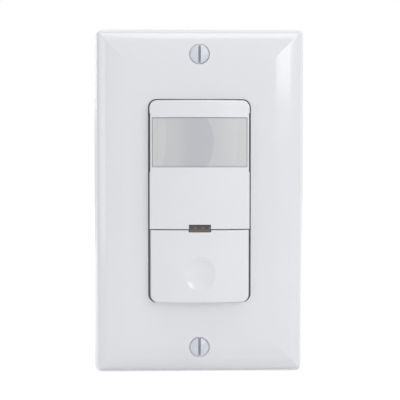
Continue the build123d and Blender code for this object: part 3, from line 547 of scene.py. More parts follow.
# The finish of each slot whose CAD nodes are shown as they are
FINISHES = {
    "strap_steel": made_of(
        plated, (204, 205, 207), roughness=0.36, line=0.1, stretch=(1.0, 1.0, 0.04), stain=0.93
    ),
    "screw_steel": made_of(plated, (196, 196, 198), roughness=0.3, line=0.2, stretch=(1.0, 0.2, 1.0)),
    "retainer_fibre": made_of(moulded, (196, 184, 158), roughness=0.8, grain=0.25, depth=0.03, drift=0.85),
    "ground_paint": made_of(painted, (38, 132, 78), worn=0.8),
    "frame_plastic": made_of(moulded, (40, 40, 42), roughness=0.5),
    "plunger_plastic": made_of(moulded, (222, 223, 224), roughness=0.4),
    "switch_plastic": made_of(moulded, (34, 34, 36), roughness=0.5),
    "lamp_plastic": made_of(moulded, (238, 232, 205), roughness=0.15, coat=0.6),
    "photocell_plastic": made_of(moulded, (178, 160, 132), roughness=0.12, coat=0.6),
    "dial_plastic": made_of(moulded, (206, 207, 209), roughness=0.42),
    "trimmer_plastic": made_of(moulded, (32, 78, 150), roughness=0.4),
    "sensor_can": made_of(
        plated, (214, 213, 208), roughness=0.14, line=0.3, stretch=(1.0, 0.1, 1.0), stain=0.9
    ),
    "sensor_glass": made_of(dark_glass, (38, 36, 42)),
    "board_laminate": made_of(laminate, (24, 96, 56), (48, 128, 78)),
    "chip_plastic": made_of(moulded, (32, 32, 34), roughness=0.55, grain=0.2, depth=0.012),
    "header_plastic": made_of(moulded, (36, 36, 38), roughness=0.5),
    "relay_plastic": made_of(moulded, (42, 92, 160), roughness=0.28, coat=0.3),
    "relay_base_plastic": made_of(moulded, (36, 36, 38), roughness=0.5),
    "coil_copper": made_of(wound, (196, 118, 62)),
    "relay_iron": made_of(plated, (186, 186, 188), roughness=0.38, line=0.15),
    "film_capacitor_case": made_of(moulded, (216, 176, 58), roughness=0.3, coat=0.2),
    "can_sleeve": made_of(moulded, (38, 40, 58), roughness=0.25, grain=0.5, coat=0.4),
    "varistor_coat": made_of(moulded, (38, 96, 178), roughness=0.25, grain=0.8, depth=0.05, coat=0.5),
    "resistor_coat": made_of(moulded, (112, 132, 108), roughness=0.7, grain=0.2, depth=0.03),
    "choke_ferrite": made_of(moulded, (52, 50, 50), roughness=0.6, grain=0.15, depth=0.03, drift=0.8),
    "diode_plastic": made_of(moulded, (30, 30, 32), roughness=0.5),
    "rear_plastic": made_of(moulded, (206, 208, 211), roughness=0.5, grain=0.4, depth=0.012),
    "brass_plate": made_of(
        plated, (214, 178, 104), roughness=0.26, line=0.15, stretch=(1.0, 0.06, 1.0), stain=0.7
    ),
    "silver_plate": made_of(
        plated, (212, 211, 207), roughness=0.28, line=0.15, stretch=(1.0, 0.06, 1.0), stain=0.82
    ),
}


def plate_finish(settings):
    return moulded(
        "plate_plastic_finish", settings.tone, settings.roughness,
        grain=1.6, depth=0.004, coat=0.95, drift=0.99, edge=0.05, marks=0.01, gap_shade=0.6
    )


def panel_finish(name, tone):
    return moulded(
        name, tone, roughness=0.4, grain=0.3, depth=0.004, coat=0.95, coat_roughness=0.09,
        drift=0.99, edge=0.28, marks=0.03, edge_highlight=1.22, gap_shade=0.6
    )


def lens_finish(settings):
    """Milky plastic with painted shade: darker where the sensor lies behind it, with the moulded facets'
    edges.
    """
    material, tree, shader = new_surface("lens_plastic_finish")
    where = places(tree)
    height = plus(tree, where["Z"], -LENS_MIDDLE)
    core = ramp(tree, away(tree, where["X"], 0.3 * MM), 11.5 * MM, 0.5 * MM)

    # The facet at the right has a round edge, about a centre at the left
    centre_x = -9.3 * MM
    run = math_node(tree, "POWER", plus(tree, where["X"], -centre_x), 2.0)
    reach = math_node(tree, "SQRT", plus(tree, math_node(tree, "POWER", height, 2.0), run))
    beyond = ramp(tree, reach, 13.8 * MM, 14.1 * MM)

    # The facet at the left has an upright edge, which leans from 3 mm below the middle down
    lean = times(tree, math_node(tree, "MAXIMUM", times(tree, height, -1.0), 3 * MM), 0.3)
    after = ramp(tree, plus(tree, where["X"], lean), -10.3 * MM, -9.9 * MM)
    inner = times(tree, ramp(tree, core, 0.0, 1.0, 0.38, 1.0), after)
    core_shade = times(tree, inner, ramp(tree, beyond, 0.0, 1.0, 1.0, 0.0))
    fade = ramp(tree, where["X"], 14 * MM, 4.6 * MM)
    right = times(tree, fade, times(tree, beyond, 0.42))
    # Painted shade: the core between the facets' edges drawn darker, and only partly darker beyond the round
    # edge, fading out to the right
    body = over(tree, plus(tree, core_shade, right), settings.lens_tone, settings.lens_core_shade)

    # Painted shade: the end facet at the right and a fine line at the left drawn darker, and the frame's
    # shadow at the edges
    leaning = plus(tree, where["X"], times(tree, height, -0.06))
    end_facet = times(tree, ramp(tree, leaning, 12.1 * MM, 12.4 * MM), 0.22)
    line = times(tree, ramp(tree, away(tree, where["X"], -13.9 * MM), 0.35 * MM, 0.1 * MM), 0.3)
    rim_x = ramp(tree, away(tree, where["X"]), LENS_HIGH.x - 0.5 * MM, LENS_HIGH.x)
    rim_z = ramp(tree, away(tree, height), LENS_HALF - 0.8 * MM, LENS_HALF)
    shade = end_facet
    for mask in (line, rim_x, rim_z):
        shade = math_node(tree, "MAXIMUM", shade, mask)
    dark = darker(settings.lens_core_shade, 0.8)
    body = over(tree, times(tree, shade, 0.45), body, dark)

    rings = add_node(
        tree, "ShaderNodeTexWave", {"Vector": place_along(tree), "Scale": 260.0, "Distortion": 0.0},
        wave_type="RINGS", rings_direction="Y", wave_profile="SAW",
    ).outputs["Fac"]
    body = over(tree, times(tree, rings, 0.04), body, dark)
    skin = effect(tree, "moulded_skin", Grain_Size=0.5 * MM)
    relief(tree, shader, skin["Grain"], 0.005 * MM, 0.3, 0.06 * MM)
    rough = ramp(tree, skin["Marks"], 0.0, 1.0, 0.3, 0.36)
    feed(tree, shader, Base_Color=body, Roughness=rough, Coat_Weight=0.2)
    feed(tree, shader, Subsurface_Weight=0.15, Subsurface_Radius=(MM, MM, MM))
    return material


def window_finish(settings):
    """Smoke-tinted plastic over two lamps and a light sensor, with broken painted glints across its middle.
    """
    material, tree, shader = new_surface("window_plastic_finish")
    where = places(tree)
    low = ramp(tree, where["Z"], -8.6 * MM, -9.75 * MM)
    line = ramp(tree, away(tree, where["Z"], -8.62 * MM), 0.42 * MM, 0.1 * MM)
    waves = {"Vector": place_along(tree), "Scale": 130.0, "Distortion": 3.0, "Detail": 2.0}
    spots = add_node(tree, "ShaderNodeTexWave", waves, bands_direction="X").outputs["Fac"]
    # Painted highlight: broken glints along the window's middle line
    glint = times(tree, line, ramp(tree, spots, 0.45, 0.9, 0.0, 0.22))
    skin = effect(tree, "moulded_skin", Grain_Size=0.4 * MM)
    relief(tree, shader, skin["Grain"], 0.003 * MM, 0.3, 0.08 * MM)
    body = over(tree, low, settings.window_tone, settings.window_low)
    body = over(tree, glint, body, srgb(176, 170, 166))
    rough = ramp(tree, skin["Marks"], 0.0, 1.0, 0.12, 0.25)
    feed(tree, shader, Base_Color=body, Roughness=rough, Coat_Weight=0.5)
    return material


# Mesh code


def face_depth(x, inset=0.0):
    """The depth of the curved face at a distance x from its middle, shrunk by an inset."""
    return CROWN_Y + FACE_RADIUS - math.sqrt((FACE_RADIUS - inset) ** 2 - x**2)


def soft_line(points, rounds, steps=5):
    """A line of (inset, depth) points whose inner corners are turned into short curves."""
    line = [Vector(points[0])]
    for before, corner, after, reach in zip(points, points[1:], points[2:], rounds):
        before, corner, after = Vector(before), Vector(corner), Vector(after)
        start = corner + (before - corner).normalized() * min(reach, (before - corner).length / 2)
        end = corner + (after - corner).normalized() * min(reach, (after - corner).length / 2)
        for step in range(steps + 1):
            t = step / steps
            line.append(start * (1 - t) ** 2 + corner * (2 * t * (1 - t)) + end * t**2)
    line.append(Vector(points[-1]))
    return line


def outline(half_x, low_z, high_z, top_corner, low_corner, across=10, upright=16):
    """A closed outline of (x, z) points that starts in the middle of its upper right corner."""
    corners = [
        (half_x - top_corner, high_z - top_corner, top_corner, 0.0),
        (top_corner - half_x, high_z - top_corner, top_corner, math.pi / 2),
        (low_corner - half_x, low_z + low_corner, low_corner, math.pi),
        (half_x - low_corner, low_z + low_corner, low_corner, 1.5 * math.pi),
    ]
    arcs = []
    for x, z, radius, start in corners:
        turns = [start + math.pi / 2 * step / CORNER_STEPS for step in range(CORNER_STEPS + 1)]
        arcs.append([(x + radius * math.cos(a), z + radius * math.sin(a)) for a in turns])
    points = []
    for i, arc in enumerate(arcs):
        following = arcs[(i + 1) % 4][0]
        steps = across if i % 2 == 0 else upright
        points += arc
        for step in range(1, steps):
            t = step / steps
            points.append(tuple(a + (b - a) * t for a, b in zip(arc[-1], following)))
    half = CORNER_STEPS // 2
    return points[half:] + points[:half]


def ring(bm, points, depth):
    """Vertices for an outline, at one depth or at a depth that depends on x and z."""
    return [bm.verts.new((x, depth(x, z) if callable(depth) else depth, z)) for x, z in points]


def band(bm, first, second):
    """Quads between two rings."""
    count = len(first)
    for i in range(count):
        j = (i + 1) % count
        bm.faces.new((first[i], first[j], second[j], second[i]))


def sheet(bm, edge, across, depth):
    """Fills a ring with a grid of quads that follows a depth at each x and z."""
    columns = CORNER_STEPS + across
    rows = len(edge) // 2 - columns
    top = [edge[columns - i] for i in range(columns + 1)]
    left = [edge[columns + rows - j] for j in range(rows + 1)]
    low = [edge[columns + rows + i] for i in range(columns + 1)]
    right = [edge[(2 * columns + rows + j) % len(edge)] for j in range(rows + 1)]
    grid = {}
    for j in range(rows + 1):
        v = j / rows
        for i in range(columns + 1):
            u = i / columns
            if j in (0, rows):
                grid[i, j] = (top if j else low)[i]
                continue
            if i in (0, columns):
                grid[i, j] = (right if i else left)[j]
                continue
            place = low[i].co * (1 - v) + top[i].co * v + left[j].co * (1 - u) + right[j].co * u
            low_line, top_line = (row[0].co * (1 - u) + row[-1].co * u for row in (low, top))
            place -= low_line * (1 - v) + top_line * v
            grid[i, j] = bm.verts.new((place.x, depth(place.x, place.z), place.z))
    for j in range(rows):
        for i in range(columns):
            bm.faces.new((grid[i, j], grid[i + 1, j], grid[i + 1, j + 1], grid[i, j + 1]))


def turned(bm, profile, z, steps=TURN_STEPS):
    """Turns a line of (radius, depth) about an axis along Y at x 0; its ends lie on the axis."""
    turns = [2 * math.pi * i / steps for i in range(steps)]
    rings = [
        ring(bm, [(radius * math.cos(a), z + radius * math.sin(a)) for a in turns], depth)
        for radius, depth in profile[1:-1]
    ]
    for first, second in zip(rings, rings[1:]):
        band(bm, first, second)
    for end, circle in ((profile[0], rings[0]), (profile[-1], rings[-1])):
        tip = bm.verts.new((0.0, end[1], z))
        for i in range(steps):
            bm.faces.new((tip, circle[i], circle[(i + 1) % steps]))


def soft_block(bm, low, high, edge):
    """A block with rounded edges between two corners."""
    verts = bmesh.ops.create_cube(bm, size=1.0)["verts"]
    middle = [(a + b) / 2 for a, b in zip(low, high)]
    size = [b - a for a, b in zip(low, high)]
    for vert in verts:
        vert.co = Vector(m + s * c for m, s, c in zip(middle, size, vert.co))
    edges = list(dict.fromkeys(e for vert in verts for e in vert.link_edges))
    bmesh.ops.bevel(bm, geom=edges, offset=edge, segments=3, profile=0.5, affect="EDGES")


def new_object(name, bm):
    bmesh.ops.recalc_face_normals(bm, faces=bm.faces)
    mesh = bpy.data.meshes.new(name)
    bm.to_mesh(mesh)
    bm.free()
    made = bpy.data.objects.new(name, mesh)
    bpy.context.scene.collection.objects.link(made)
    return made


def carve(piece, bm, operation):
    """Cuts a mesh out of a piece, or joins it to the piece."""
    tool = new_object(piece.name + "_tool", bm)
    cut = piece.modifiers.new("carve", "BOOLEAN")
    cut.operation, cut.solver, cut.object = operation, "EXACT", tool
    evaluated = piece.evaluated_get(bpy.context.evaluated_depsgraph_get())
    mesh = bpy.data.meshes.new_from_object(evaluated)
    piece.modifiers.clear()
    old, piece.data = piece.data, mesh
    mesh.name = piece.name
    bpy.data.objects.remove(tool)
    bpy.data.meshes.remove(old)


def finish_piece(piece, body, slot, material, *replaced, angle=35.0):
    """Smooths a piece by angle, gives it its material, moves it with its body and hides the CAD nodes it
    stands for.
    """
    piece.data.polygons.foreach_set("use_smooth", [True] * len(piece.data.polygons))
    piece.data.set_sharp_from_angle(angle=math.radians(angle))
    even = piece.modifiers.new("even_normals", "WEIGHTED_NORMAL")
    even.keep_sharp = True
    piece.data.materials.clear()
    piece.data.materials.append(material)
    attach(piece, body)
    if replaced:
        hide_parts(*replaced)


def rounded_edge_rings(bm, at, front, edge):
    """Rings that turn from a face's front into its sides; at(inset) gives the outline for an inset."""
    rings = []
    for step in range(EDGE_STEPS + 1):
        turn = math.pi / 2 * step / EDGE_STEPS
        drop = edge * (1 - math.cos(turn))
        rings.append(ring(bm, at(edge * (1 - math.sin(turn))), lambda x, z, d=drop: front(x, z) + d))
    for first, second in zip(rings, rings[1:]):
        band(bm, first, second)
    return rings


# Pieces


class SensorOperator:
    """What all of this file's operators share."""

    bl_options = {"REGISTER", "UNDO"}


class SENSOR_OT_plate(SensorOperator, bpy.types.Operator):
    """Build the wall plate with its softly bent edge, opening and countersunk screw holes"""

    bl_idname = "sensor.plate"
    bl_label = "Wall plate"

    def execute(self, context):
        look = context.scene.sensor_plate
        half_x, half_z = PLATE_HIGH.x, PLATE_HIGH.z
        corner, least_corner, opening_corner = 1.6 * MM, 0.3 * MM, 2.7 * MM

        def plate_outline(inset):
            radius = max(corner - inset, least_corner)
            return outline(half_x - inset, inset - half_z, half_z - inset, radius, radius)

        def opening_outline(grow):
            x, z = look.opening_width / 2 + grow, look.opening_height / 2 + grow
            radius = opening_corner + grow
            return outline(x, look.opening_rise - z, look.opening_rise + z, radius, radius)

        # Distance from the rim and depth of each bend, in millimetres
        bends = [(0.0, 0.0), (1.3, -3.5), (4.1, -4.85), (9.1, -5.6), (13.0, -5.6)]
        bends = [(inset * MM, depth * MM) for inset, depth in bends]
        outside = soft_line(bends, (look.rim_round, look.bevel_round, look.slope_round))[:-1]
        bm = bmesh.new()
        rings = [ring(bm, plate_outline(inset), depth) for inset, depth in outside]
        flat, hole = plate_outline(outside[-1][0]), opening_outline(look.opening_round)
        for t in (1 / 3, 2 / 3):
            between = [tuple(a + (b - a) * t for a, b in zip(p, q)) for p, q in zip(flat, hole)]
            rings.append(ring(bm, between, PLATE_FRONT))
        for step in range(EDGE_STEPS + 1):
            turn = math.pi / 2 * step / EDGE_STEPS
            grow, drop = (look.opening_round * (1 - part) for part in (math.sin(turn), math.cos(turn)))
            rings.append(ring(bm, opening_outline(grow), PLATE_FRONT + drop))
        rings.append(ring(bm, opening_outline(0.0), PLATE_INSIDE))
        for inset, depth in reversed(bends[1:-1]):
            rings.append(ring(bm, plate_outline(inset + PLATE_SKIN), depth + PLATE_SKIN))
        rings.append(ring(bm, plate_outline(PLATE_SKIN), 0.0))
        for first, second in zip(rings, rings[1:] + rings[:1]):
            band(bm, first, second)
        plate = new_object("plate_shell", bm)

        # A boss behind each screw, and a sink whose mouth has a flat-floored moat about the head
        boss_radius, boss_back = 3.1 * MM, -2.0 * MM
        sink_radius, bore = 3.55 * MM, 2.0 * MM
        moat_radius, moat_depth = 3.42 * MM, 0.85 * MM
        middle, moat = PLATE_FRONT + PLATE_SKIN / 2, PLATE_FRONT + moat_depth
        moat_in = sink_radius - moat_depth * HEAD_SLOPE
        sink_end = PLATE_FRONT + (sink_radius - bore) / HEAD_SLOPE
        ahead, behind = PLATE_FRONT - MM, boss_back + MM
        boss = [(0, middle), (boss_radius, middle), (boss_radius, boss_back), (0, boss_back)]
        sink = [(0, ahead), (moat_radius, ahead), (moat_radius, moat), (moat_in, moat)]
        sink += [(bore, sink_end), (bore, behind), (0, behind)]
        bosses, sinks = bmesh.new(), bmesh.new()
        for z in (-SCREW_Z, SCREW_Z):
            turned(bosses, boss, z)
            turned(sinks, sink, z)
        carve(plate, bosses, "UNION")
        carve(plate, sinks, "DIFFERENCE")
        finish_piece(plate, "sensor_body", "plate_plastic", plate_finish(look), "wall_plate", angle=30.0)
        return {"FINISHED"}


class SENSOR_OT_plate_screws(SensorOperator, bpy.types.Operator):
    """Build the two painted oval-head screws with their upright slots"""

    bl_idname = "sensor.plate_screws"
    bl_label = "Plate screws"

    def execute(self, context):
        look = context.scene.sensor_plate
        head, neck, dome, tip = look.screw_radius, 1.68 * MM, 0.95 * MM, 0.6 * MM
        top, end = SCREW_LOW.y, SCREW_HIGH.y
        rim = top + dome
        cone_end = rim + (head - neck) / HEAD_SLOPE
        dome_radius = (head**2 + dome**2) / (2 * dome)
        dome_reach, dome_steps = head - 0.08 * MM, 8
        profile = [(0.0, top)]
        for step in range(1, dome_steps + 1):
            radius = dome_reach * step / dome_steps
            profile.append((radius, top + dome_radius - math.sqrt(dome_radius**2 - radius**2)))
        profile += [(head, rim + 0.04 * MM), (head - 0.04 * MM, rim + 0.1 * MM)]
        profile += [(neck, cone_end), (neck, end - tip), (neck - tip, end), (0.0, end)]

        bm, slots = bmesh.new(), bmesh.new()
        half, reach, slot_floor = look.screw_slot / 2, head + MM, top + 1.5 * MM
        for z in (-SCREW_Z, SCREW_Z):
            turned(bm, profile, z)
            soft_block(slots, (-half, top - MM, z - reach), (half, slot_floor, z + reach), 0.08 * MM)
        screws = new_object("plate_screw_pair", bm)
        carve(screws, slots, "DIFFERENCE")
        finish = painted(
            "plate_screw_paint_finish", look.screw_tone,
            metal=(0.5, 0.51, 0.53), roughness=0.3, worn=0.35, slot_shade=0.25
        )
        finish_piece(screws, "sensor_body", "plate_screw_paint", finish, "wall_plate_screws")
        return {"FINISHED"}


class SENSOR_OT_lens(SensorOperator, bpy.types.Operator):
    """Build the wide milky lens with Fresnel rings inside and its four snap hooks"""

    bl_idname = "sensor.lens"
    bl_label = "Lens"

    def execute(self, context):
        look = context.scene.sensor_face
        recess, thickness, edge, lip_width = 0.12 * MM, 0.8 * MM, 0.12 * MM, 1.0 * MM
        across, upright = 72, 36

        def lens_outline(inset):
            radius = max(0.25 * MM - inset, 0.05 * MM)
            low, high = LENS_MIDDLE - LENS_HALF + inset, LENS_MIDDLE + LENS_HALF - inset
            return outline(LENS_HIGH.x - inset, low, high, radius, radius, across, upright)

        def front(x, z):
            return face_depth(x, recess)

        def back(x, z):
            return face_depth(x, recess + thickness)

        def inside(x, z):
            """The inner surface, with sawtooth rings about each of six facets' own centres."""
            facet, pitch, tooth = LENS_HIGH.x / 3, 0.9 * MM, 0.1 * MM
            centre = (math.floor(x / facet) + 0.5) * facet
            reach = math.hypot(x - centre, z - LENS_MIDDLE)
            return back(x, z) - tooth * (1 - (reach / pitch) % 1.0)

        bm = bmesh.new()
        rings = rounded_edge_rings(bm, lens_outline, front, edge)
        sheet(bm, rings[0], across, front)
        rim, lip = ring(bm, lens_outline(0.0), back), ring(bm, lens_outline(lip_width), back)
        band(bm, rings[-1], rim)
        band(bm, rim, lip)
        sheet(bm, lip, across, inside)

        # Four hooks reach back and catch behind the frame with their barbs
        end, hook_half, barb_half = LENS_HIGH.y, 1.5 * MM, 1.45 * MM
        for x in (-8.0 * MM, 8.0 * MM):
            start = face_depth(abs(x) + hook_half, recess + thickness / 2)
            for side in (-1, 1):
                outer = LENS_MIDDLE + side * (LENS_HALF - 1.18 * MM)
                inner, tip = outer - side * 0.8 * MM, outer + side * 0.58 * MM
                low, high = sorted((inner, outer))
                soft_block(bm, (x - hook_half, start, low), (x + hook_half, end, high), 0.1 * MM)
                low, high = sorted(((inner + outer) / 2, tip))
                barb_low = (x - barb_half, end - 0.8 * MM, low)
                soft_block(bm, barb_low, (x + barb_half, end - 0.02 * MM, high), 0.12 * MM)
        lens = new_object("lens_sheet", bm)
        finish_piece(lens, "sensor_body", "lens_plastic", lens_finish(look), "fresnel_lens")
        return {"FINISHED"}


class SENSOR_OT_button(SensorOperator, bpy.types.Operator):
    """Build the push button: a curved cap with an oval dimple, pivot pins, stop hooks and post"""

    bl_idname = "sensor.button"
    bl_label = "Push button"

    def execute(self, context):
        look = context.scene.sensor_face
        half_x, low_z = BUTTON_HIGH.x, BUTTON_LOW.z
        wall, top_z = 1.5 * MM, BUTTON_HIGH.z + 0.12 * MM
        across, upright = 96, 70

        def button_outline(inset):
            top, low = max(0.3 * MM - inset, 0.05 * MM), max(2.4 * MM - inset, 0.3 * MM)
            return outline(half_x - inset, low_z + inset, top_z - inset, top, low, across, upright)

        def front(x, z):
            """The drum of the face with a scoop in it that fades out towards its top."""
            flat = face_depth(x)
            up = (z - look.dimple_z) / look.dimple_half_height
            reach = math.hypot(x / look.dimple_half_width, up)
            if reach >= 1.0:
                return flat
            lip = min(1.0, (1.0 - reach) / (0.1 + 0.5 * max(0.0, up)))
            return flat + look.dimple_depth * (1.0 - reach**2.2) * lip * (2.0 - lip)

        def inside(x, z):
            return face_depth(x, wall)

        bm = bmesh.new()
        rings = rounded_edge_rings(bm, button_outline, front, look.edge_round)
        sheet(bm, rings[0], across, front)
        back, rim = (ring(bm, button_outline(inset), BUTTON_BACK) for inset in (0.0, wall))
        ceiling = ring(bm, button_outline(wall), inside)
        for first, second in ((rings[-1], back), (back, rim), (rim, ceiling)):
            band(bm, first, second)
        sheet(bm, ceiling, across, inside)
        cap = new_object("button_cap", bm)
        notch = bmesh.new()
        half, low = WINDOW_HALF + 0.13 * MM, WINDOW_BOTTOM - 0.12 * MM
        notch_high = (half, BUTTON_BACK + MM, BUTTON_HIGH.z + MM)
        soft_block(notch, (-half, CROWN_Y - MM, low), notch_high, 0.08 * MM)
        carve(cap, notch, "DIFFERENCE")
        finish = panel_finish("button_plastic_finish", look.button_tone)
        finish_piece(cap, "button", "button_plastic", finish, "push_button", angle=30.0)

        pivot_y, pivot_z, pin_radius = -5.2 * MM, -12.6 * MM, 0.8 * MM
        inner_x, root, end = half_x - wall, BUTTON_BACK - 2.0 * MM, BUTTON_HIGH.y
        stop_low, stop_high = -21.5 * MM, -18.5 * MM
        bm = bmesh.new()
        for hand in (-1, 1):
            near, far = sorted((hand * (inner_x + 0.2 * MM), hand * (inner_x - 2.8 * MM)))
            pin = bmesh.ops.create_cone(
                bm, cap_ends=True, segments=32, radius1=pin_radius, radius2=pin_radius, depth=far - near
            )["verts"]
            for vert in pin:
                along, up = vert.co.z, vert.co.x
                vert.co = Vector(((near + far) / 2 + along, pivot_y + vert.co.y, pivot_z + up))

            # A stop hook's foot in the side wall, its arm and its barb: x from and to, y from and to, edge
            blocks = [
                (inner_x + 0.2 * MM, inner_x - 1.2 * MM, root, BUTTON_BACK, 0.1 * MM),
                (inner_x, inner_x - 1.2 * MM, root, end, 0.1 * MM),
                (inner_x - 0.1 * MM, inner_x - 1.8 * MM, end - 0.7 * MM, end - 0.01 * MM, 0.12 * MM),
            ]
            for outer, inner, start, stop, edge in blocks:
                low_x, high_x = sorted((hand * outer, hand * inner))
                soft_block(bm, (low_x, start, stop_low), (high_x, stop, stop_high), edge)

        post_radius, post_tip, post_z = 1.3 * MM, 1.15 * MM, -21.2 * MM
        post_start, post_end = CROWN_Y + wall / 2 + look.dimple_depth, pivot_y + 0.2 * MM
        post = [(0, post_start), (post_radius, post_start), (post_radius, post_end - 0.15 * MM)]
        turned(bm, post + [(post_tip, post_end), (0, post_end)], post_z, 40)
        fittings = new_object("button_fittings", bm)
        finish_piece(fittings, "button", "button_plastic", finish)
        return {"FINISHED"}


class SENSOR_OT_window(SensorOperator, bpy.types.Operator):
    """Build the smoke status window with its flange and light pipe in one piece"""

    bl_idname = "sensor.window"
    bl_label = "Status window"

    def execute(self, context):
        look = context.scene.sensor_face
        across, upright = 16, 8
        corner, edge, recess = 0.2 * MM, 0.15 * MM, 0.1 * MM

        def window_outline(grow, radius):
            low, high = WINDOW_BOTTOM - grow, WINDOW_TOP + grow
            return outline(WINDOW_HALF + grow, low, high, radius, radius, across, upright)

        def shrunk(inset):
            return window_outline(-inset, corner - inset * 0.8)

        def front(x, z):
            return face_depth(x, recess)

        bm = bmesh.new()
        rings = rounded_edge_rings(bm, shrunk, front, edge)
        sheet(bm, rings[0], across, front)
        pipe = outline(2.8 * MM, -9.6 * MM, -7.9 * MM, 0.15 * MM, 0.15 * MM, across, upright)
        flange, flange_back = window_outline(1.2 * MM, 0.3 * MM), STRAP_FRONT + 0.8 * MM
        steps = [
            (window_outline(0.0, corner), STRAP_FRONT),
            (flange, STRAP_FRONT),
            (flange, flange_back),
            (pipe, flange_back),
            (pipe, WINDOW_END),
        ]
        last = rings[-1]
        for points, depth in steps:
            following = ring(bm, points, depth)
            band(bm, last, following)
            last = following
        sheet(bm, last, across, lambda x, z: WINDOW_END)
        window = new_object("status_window_body", bm)
        finish_piece(window, "sensor_body", "window_plastic", window_finish(look), "status_window")
        return {"FINISHED"}


def dress(*names):
    """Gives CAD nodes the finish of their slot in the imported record."""
    slots = {part["node"]: part["material_slot"] for part in frame["record"]["subparts"]}
    for name in names:
        slot = slots[name]
        label = slot + "_finish"
        material = bpy.data.materials.get(label) or FINISHES[slot](label)
        node = frame["nodes"][name]
        node.data.materials.clear()
        node.data.materials.append(material)


class SENSOR_OT_front_housing(SensorOperator, bpy.types.Operator):
    """Dress the front housing, whose panel is the device's face"""

    bl_idname = "sensor.front_housing"
    bl_label = "Front housing"

    def execute(self, context):
        panel_finish("front_plastic_finish", context.scene.sensor_face.panel_tone)
        dress("front_housing")
        return {"FINISHED"}


class SENSOR_OT_mounting(SensorOperator, bpy.types.Operator):
    """Dress the strap, its screws and their retainers"""

    bl_idname = "sensor.mounting"
    bl_label = "Mounting strap"

    def execute(self, context):
        dress("mounting_strap", "box_mounting_screws", "screw_retainers", "ground_screw")
        return {"FINISHED"}


class SENSOR_OT_rear_housing(SensorOperator, bpy.types.Operator):
    """Dress the rear housing, its screws and the wire terminals"""

    bl_idname = "sensor.rear_housing"
    bl_label = "Rear housing"

    def execute(self, context):
        dress("rear_housing", "housing_screws", "hot_terminal_screws", "neutral_terminal_screw")
        dress("line_terminal", "load_terminal", "neutral_terminal")
        return {"FINISHED"}


class SENSOR_OT_controls(SensorOperator, bpy.types.Operator):
    """Dress the dials, plunger, switch, lamps and sensor on the control board"""

    bl_idname = "sensor.controls"
    bl_label = "Controls"

    def execute(self, context):
        dress("time_dial", "light_dial", "range_dial", "trimmer_bodies")
        dress("button_plunger", "tact_switch_stem", "tact_switch_body", "status_lamps", "photocell")
        dress("lens_frame", "pir_sensor", "pir_window")
        dress("control_board", "control_chip", "amplifier_chip", "board_header")
        return {"FINISHED"}


class SENSOR_OT_power(SensorOperator, bpy.types.Operator):
    """Dress the power board with its relay and other parts"""

    bl_idname = "sensor.power"
    bl_label = "Power parts"

    def execute(self, context):
        dress("power_board", "relay_cover", "relay_base", "relay_coil", "relay_yoke", "relay_armature")
        dress("film_capacitor", "filter_capacitor", "varistor", "fuse_resistor", "choke")
        dress("rectifier_diodes")
        return {"FINISHED"}


def point_at(made, place, aim):
    """Places a lamp or camera and turns it towards a point."""
    made.location = place
    made.rotation_mode = "QUATERNION"
    made.rotation_quaternion = (Vector(aim) - made.location).to_track_quat("-Z", "Y")
    bpy.context.scene.collection.objects.link(made)


def area_lamp(name, place, size, lamp_power, aim=(0.0, 0.0, 0.0)):
    lamp = bpy.data.lights.new(name, "AREA")
    lamp.shape, lamp.size, lamp.size_y = "RECTANGLE", size[0], size[1]
    lamp.energy = lamp_power
    point_at(bpy.data.objects.new(name, lamp), place, aim)


def seen_directly(tree):
    """One for camera, glossy and transmission rays, which see the white ground."""
    path = add_node(tree, "ShaderNodeLightPath").outputs
    seen = math_node(tree, "MAXIMUM", path["Is Camera Ray"], path["Is Glossy Ray"])
    return math_node(tree, "MAXIMUM", seen, path["Is Transmission Ray"])


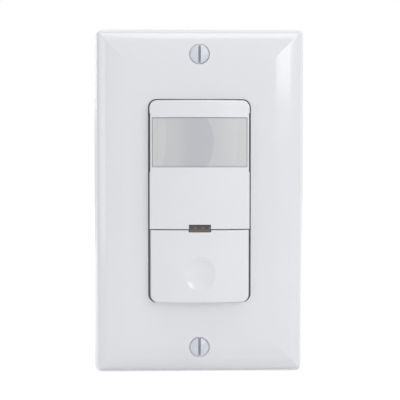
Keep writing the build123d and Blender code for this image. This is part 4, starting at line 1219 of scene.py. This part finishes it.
class SENSOR_OT_stage(SensorOperator, bpy.types.Operator):
    """Build the floor, the white ground, the lamps and the camera"""

    bl_idname = "sensor.stage"
    bl_label = "Stage"

    def execute(self, context):
        look = context.scene.sensor_stage
        white = (1.0, 1.0, 1.0, 1.0)
        half, gap = 1.5, 0.02 * MM
        floor_z = CAD_BOX[0][2] - gap
        bm = bmesh.new()
        corners = ((-half, -half), (half, -half), (half, half), (-half, half))
        bm.faces.new([bm.verts.new((x, y, floor_z)) for x, y in corners])
        floor = new_object("floor", bm)
        ground = bpy.data.materials.new("floor_ground")
        ground.use_nodes = True
        tree = ground.node_tree
        tree.nodes.clear()
        plain = add_node(tree, "ShaderNodeBsdfDiffuse", {"Color": (*look.floor_tone, 1.0)})
        lift = times(tree, seen_directly(tree), 0.5)
        glow = add_node(tree, "ShaderNodeEmission", {"Color": white, "Strength": lift})
        both = add_node(tree, "ShaderNodeAddShader", {0: plain.outputs["BSDF"], 1: glow.outputs["Emission"]})
        add_node(tree, "ShaderNodeOutputMaterial", {"Surface": both.outputs["Shader"]})
        floor.data.materials.append(ground)

        world = bpy.data.worlds.new("white_ground")
        context.scene.world = world
        world.use_nodes = True
        tree = world.node_tree
        level = ramp(tree, seen_directly(tree), 0.0, 1.0, look.sky, 1.0)
        feed(tree, tree.nodes["Background"], Strength=level, Color=white)

        area_lamp("key_lamp", (0.36, -0.4, 0.26), (0.22, 0.3), look.key_power)
        area_lamp("side_lamp", (0.5, -0.29, 0.08), (0.2, 0.3), look.side_power)
        area_lamp("face_lamp", (0.2, -0.43, 0.14), (0.15, 0.14), look.face_power)
        area_lamp("left_strip", (-0.42, -0.33, 0.04), (0.14, 0.24), look.left_power, (0.0, 0.0, 0.02))
        area_lamp("top_lamp", (0.1, -0.16, 0.5), (0.4, 0.2), look.top_power)
        area_lamp("back_lamp", (-0.22, 0.5, 0.2), (0.3, 0.3), look.back_power)

        camera = bpy.data.cameras.new("camera")
        camera.sensor_width, camera.lens = 36.0, look.camera_lens
        camera.clip_start, camera.clip_end = 0.01, 10.0
        viewer = bpy.data.objects.new("camera", camera)
        point_at(viewer, (-9.8 * MM, -336.0 * MM, 10.9 * MM), (0.34 * MM, 0.0, 0.24 * MM))
        context.scene.camera = viewer
        context.scene.view_settings.view_transform = "Standard"
        return {"FINISHED"}


OPERATORS = (
    SENSOR_OT_plate,
    SENSOR_OT_plate_screws,
    SENSOR_OT_front_housing,
    SENSOR_OT_lens,
    SENSOR_OT_button,
    SENSOR_OT_window,
    SENSOR_OT_mounting,
    SENSOR_OT_rear_housing,
    SENSOR_OT_controls,
    SENSOR_OT_power,
    SENSOR_OT_stage,
)


class SENSOR_PT_sidebar(bpy.types.Panel):
    """The sensor's settings and pieces."""

    bl_idname = "SENSOR_PT_sidebar"
    bl_label = "Occupancy sensor"
    bl_space_type = "VIEW_3D"
    bl_region_type = "UI"
    bl_category = "Sensor"

    def draw(self, context):
        for settings in (context.scene.sensor_plate, context.scene.sensor_face, context.scene.sensor_stage):
            column = self.layout.column()
            for name in settings.__annotations__:
                column.prop(settings, name)
        for operator in OPERATORS:
            self.layout.operator(operator.bl_idname)


SETTINGS = {"sensor_plate": SENSOR_PG_plate, "sensor_face": SENSOR_PG_face, "sensor_stage": SENSOR_PG_stage}
CLASSES = (*SETTINGS.values(), *OPERATORS, SENSOR_PT_sidebar)


def register():
    for made in CLASSES:
        bpy.utils.register_class(made)
    for name, group in SETTINGS.items():
        setattr(bpy.types.Scene, name, PointerProperty(type=group))


def unregister():
    for name in SETTINGS:
        delattr(bpy.types.Scene, name)
    for made in reversed(CLASSES):
        bpy.utils.unregister_class(made)


def main():
    register()
    bpy.ops.sensor.plate()
    bpy.ops.sensor.plate_screws()
    bpy.ops.sensor.front_housing()
    bpy.ops.sensor.lens()
    bpy.ops.sensor.button()
    bpy.ops.sensor.window()
    bpy.ops.sensor.mounting()
    bpy.ops.sensor.rear_housing()
    bpy.ops.sensor.controls()
    bpy.ops.sensor.power()
    bpy.ops.sensor.stage()


if __name__ == "__main__":
    main()
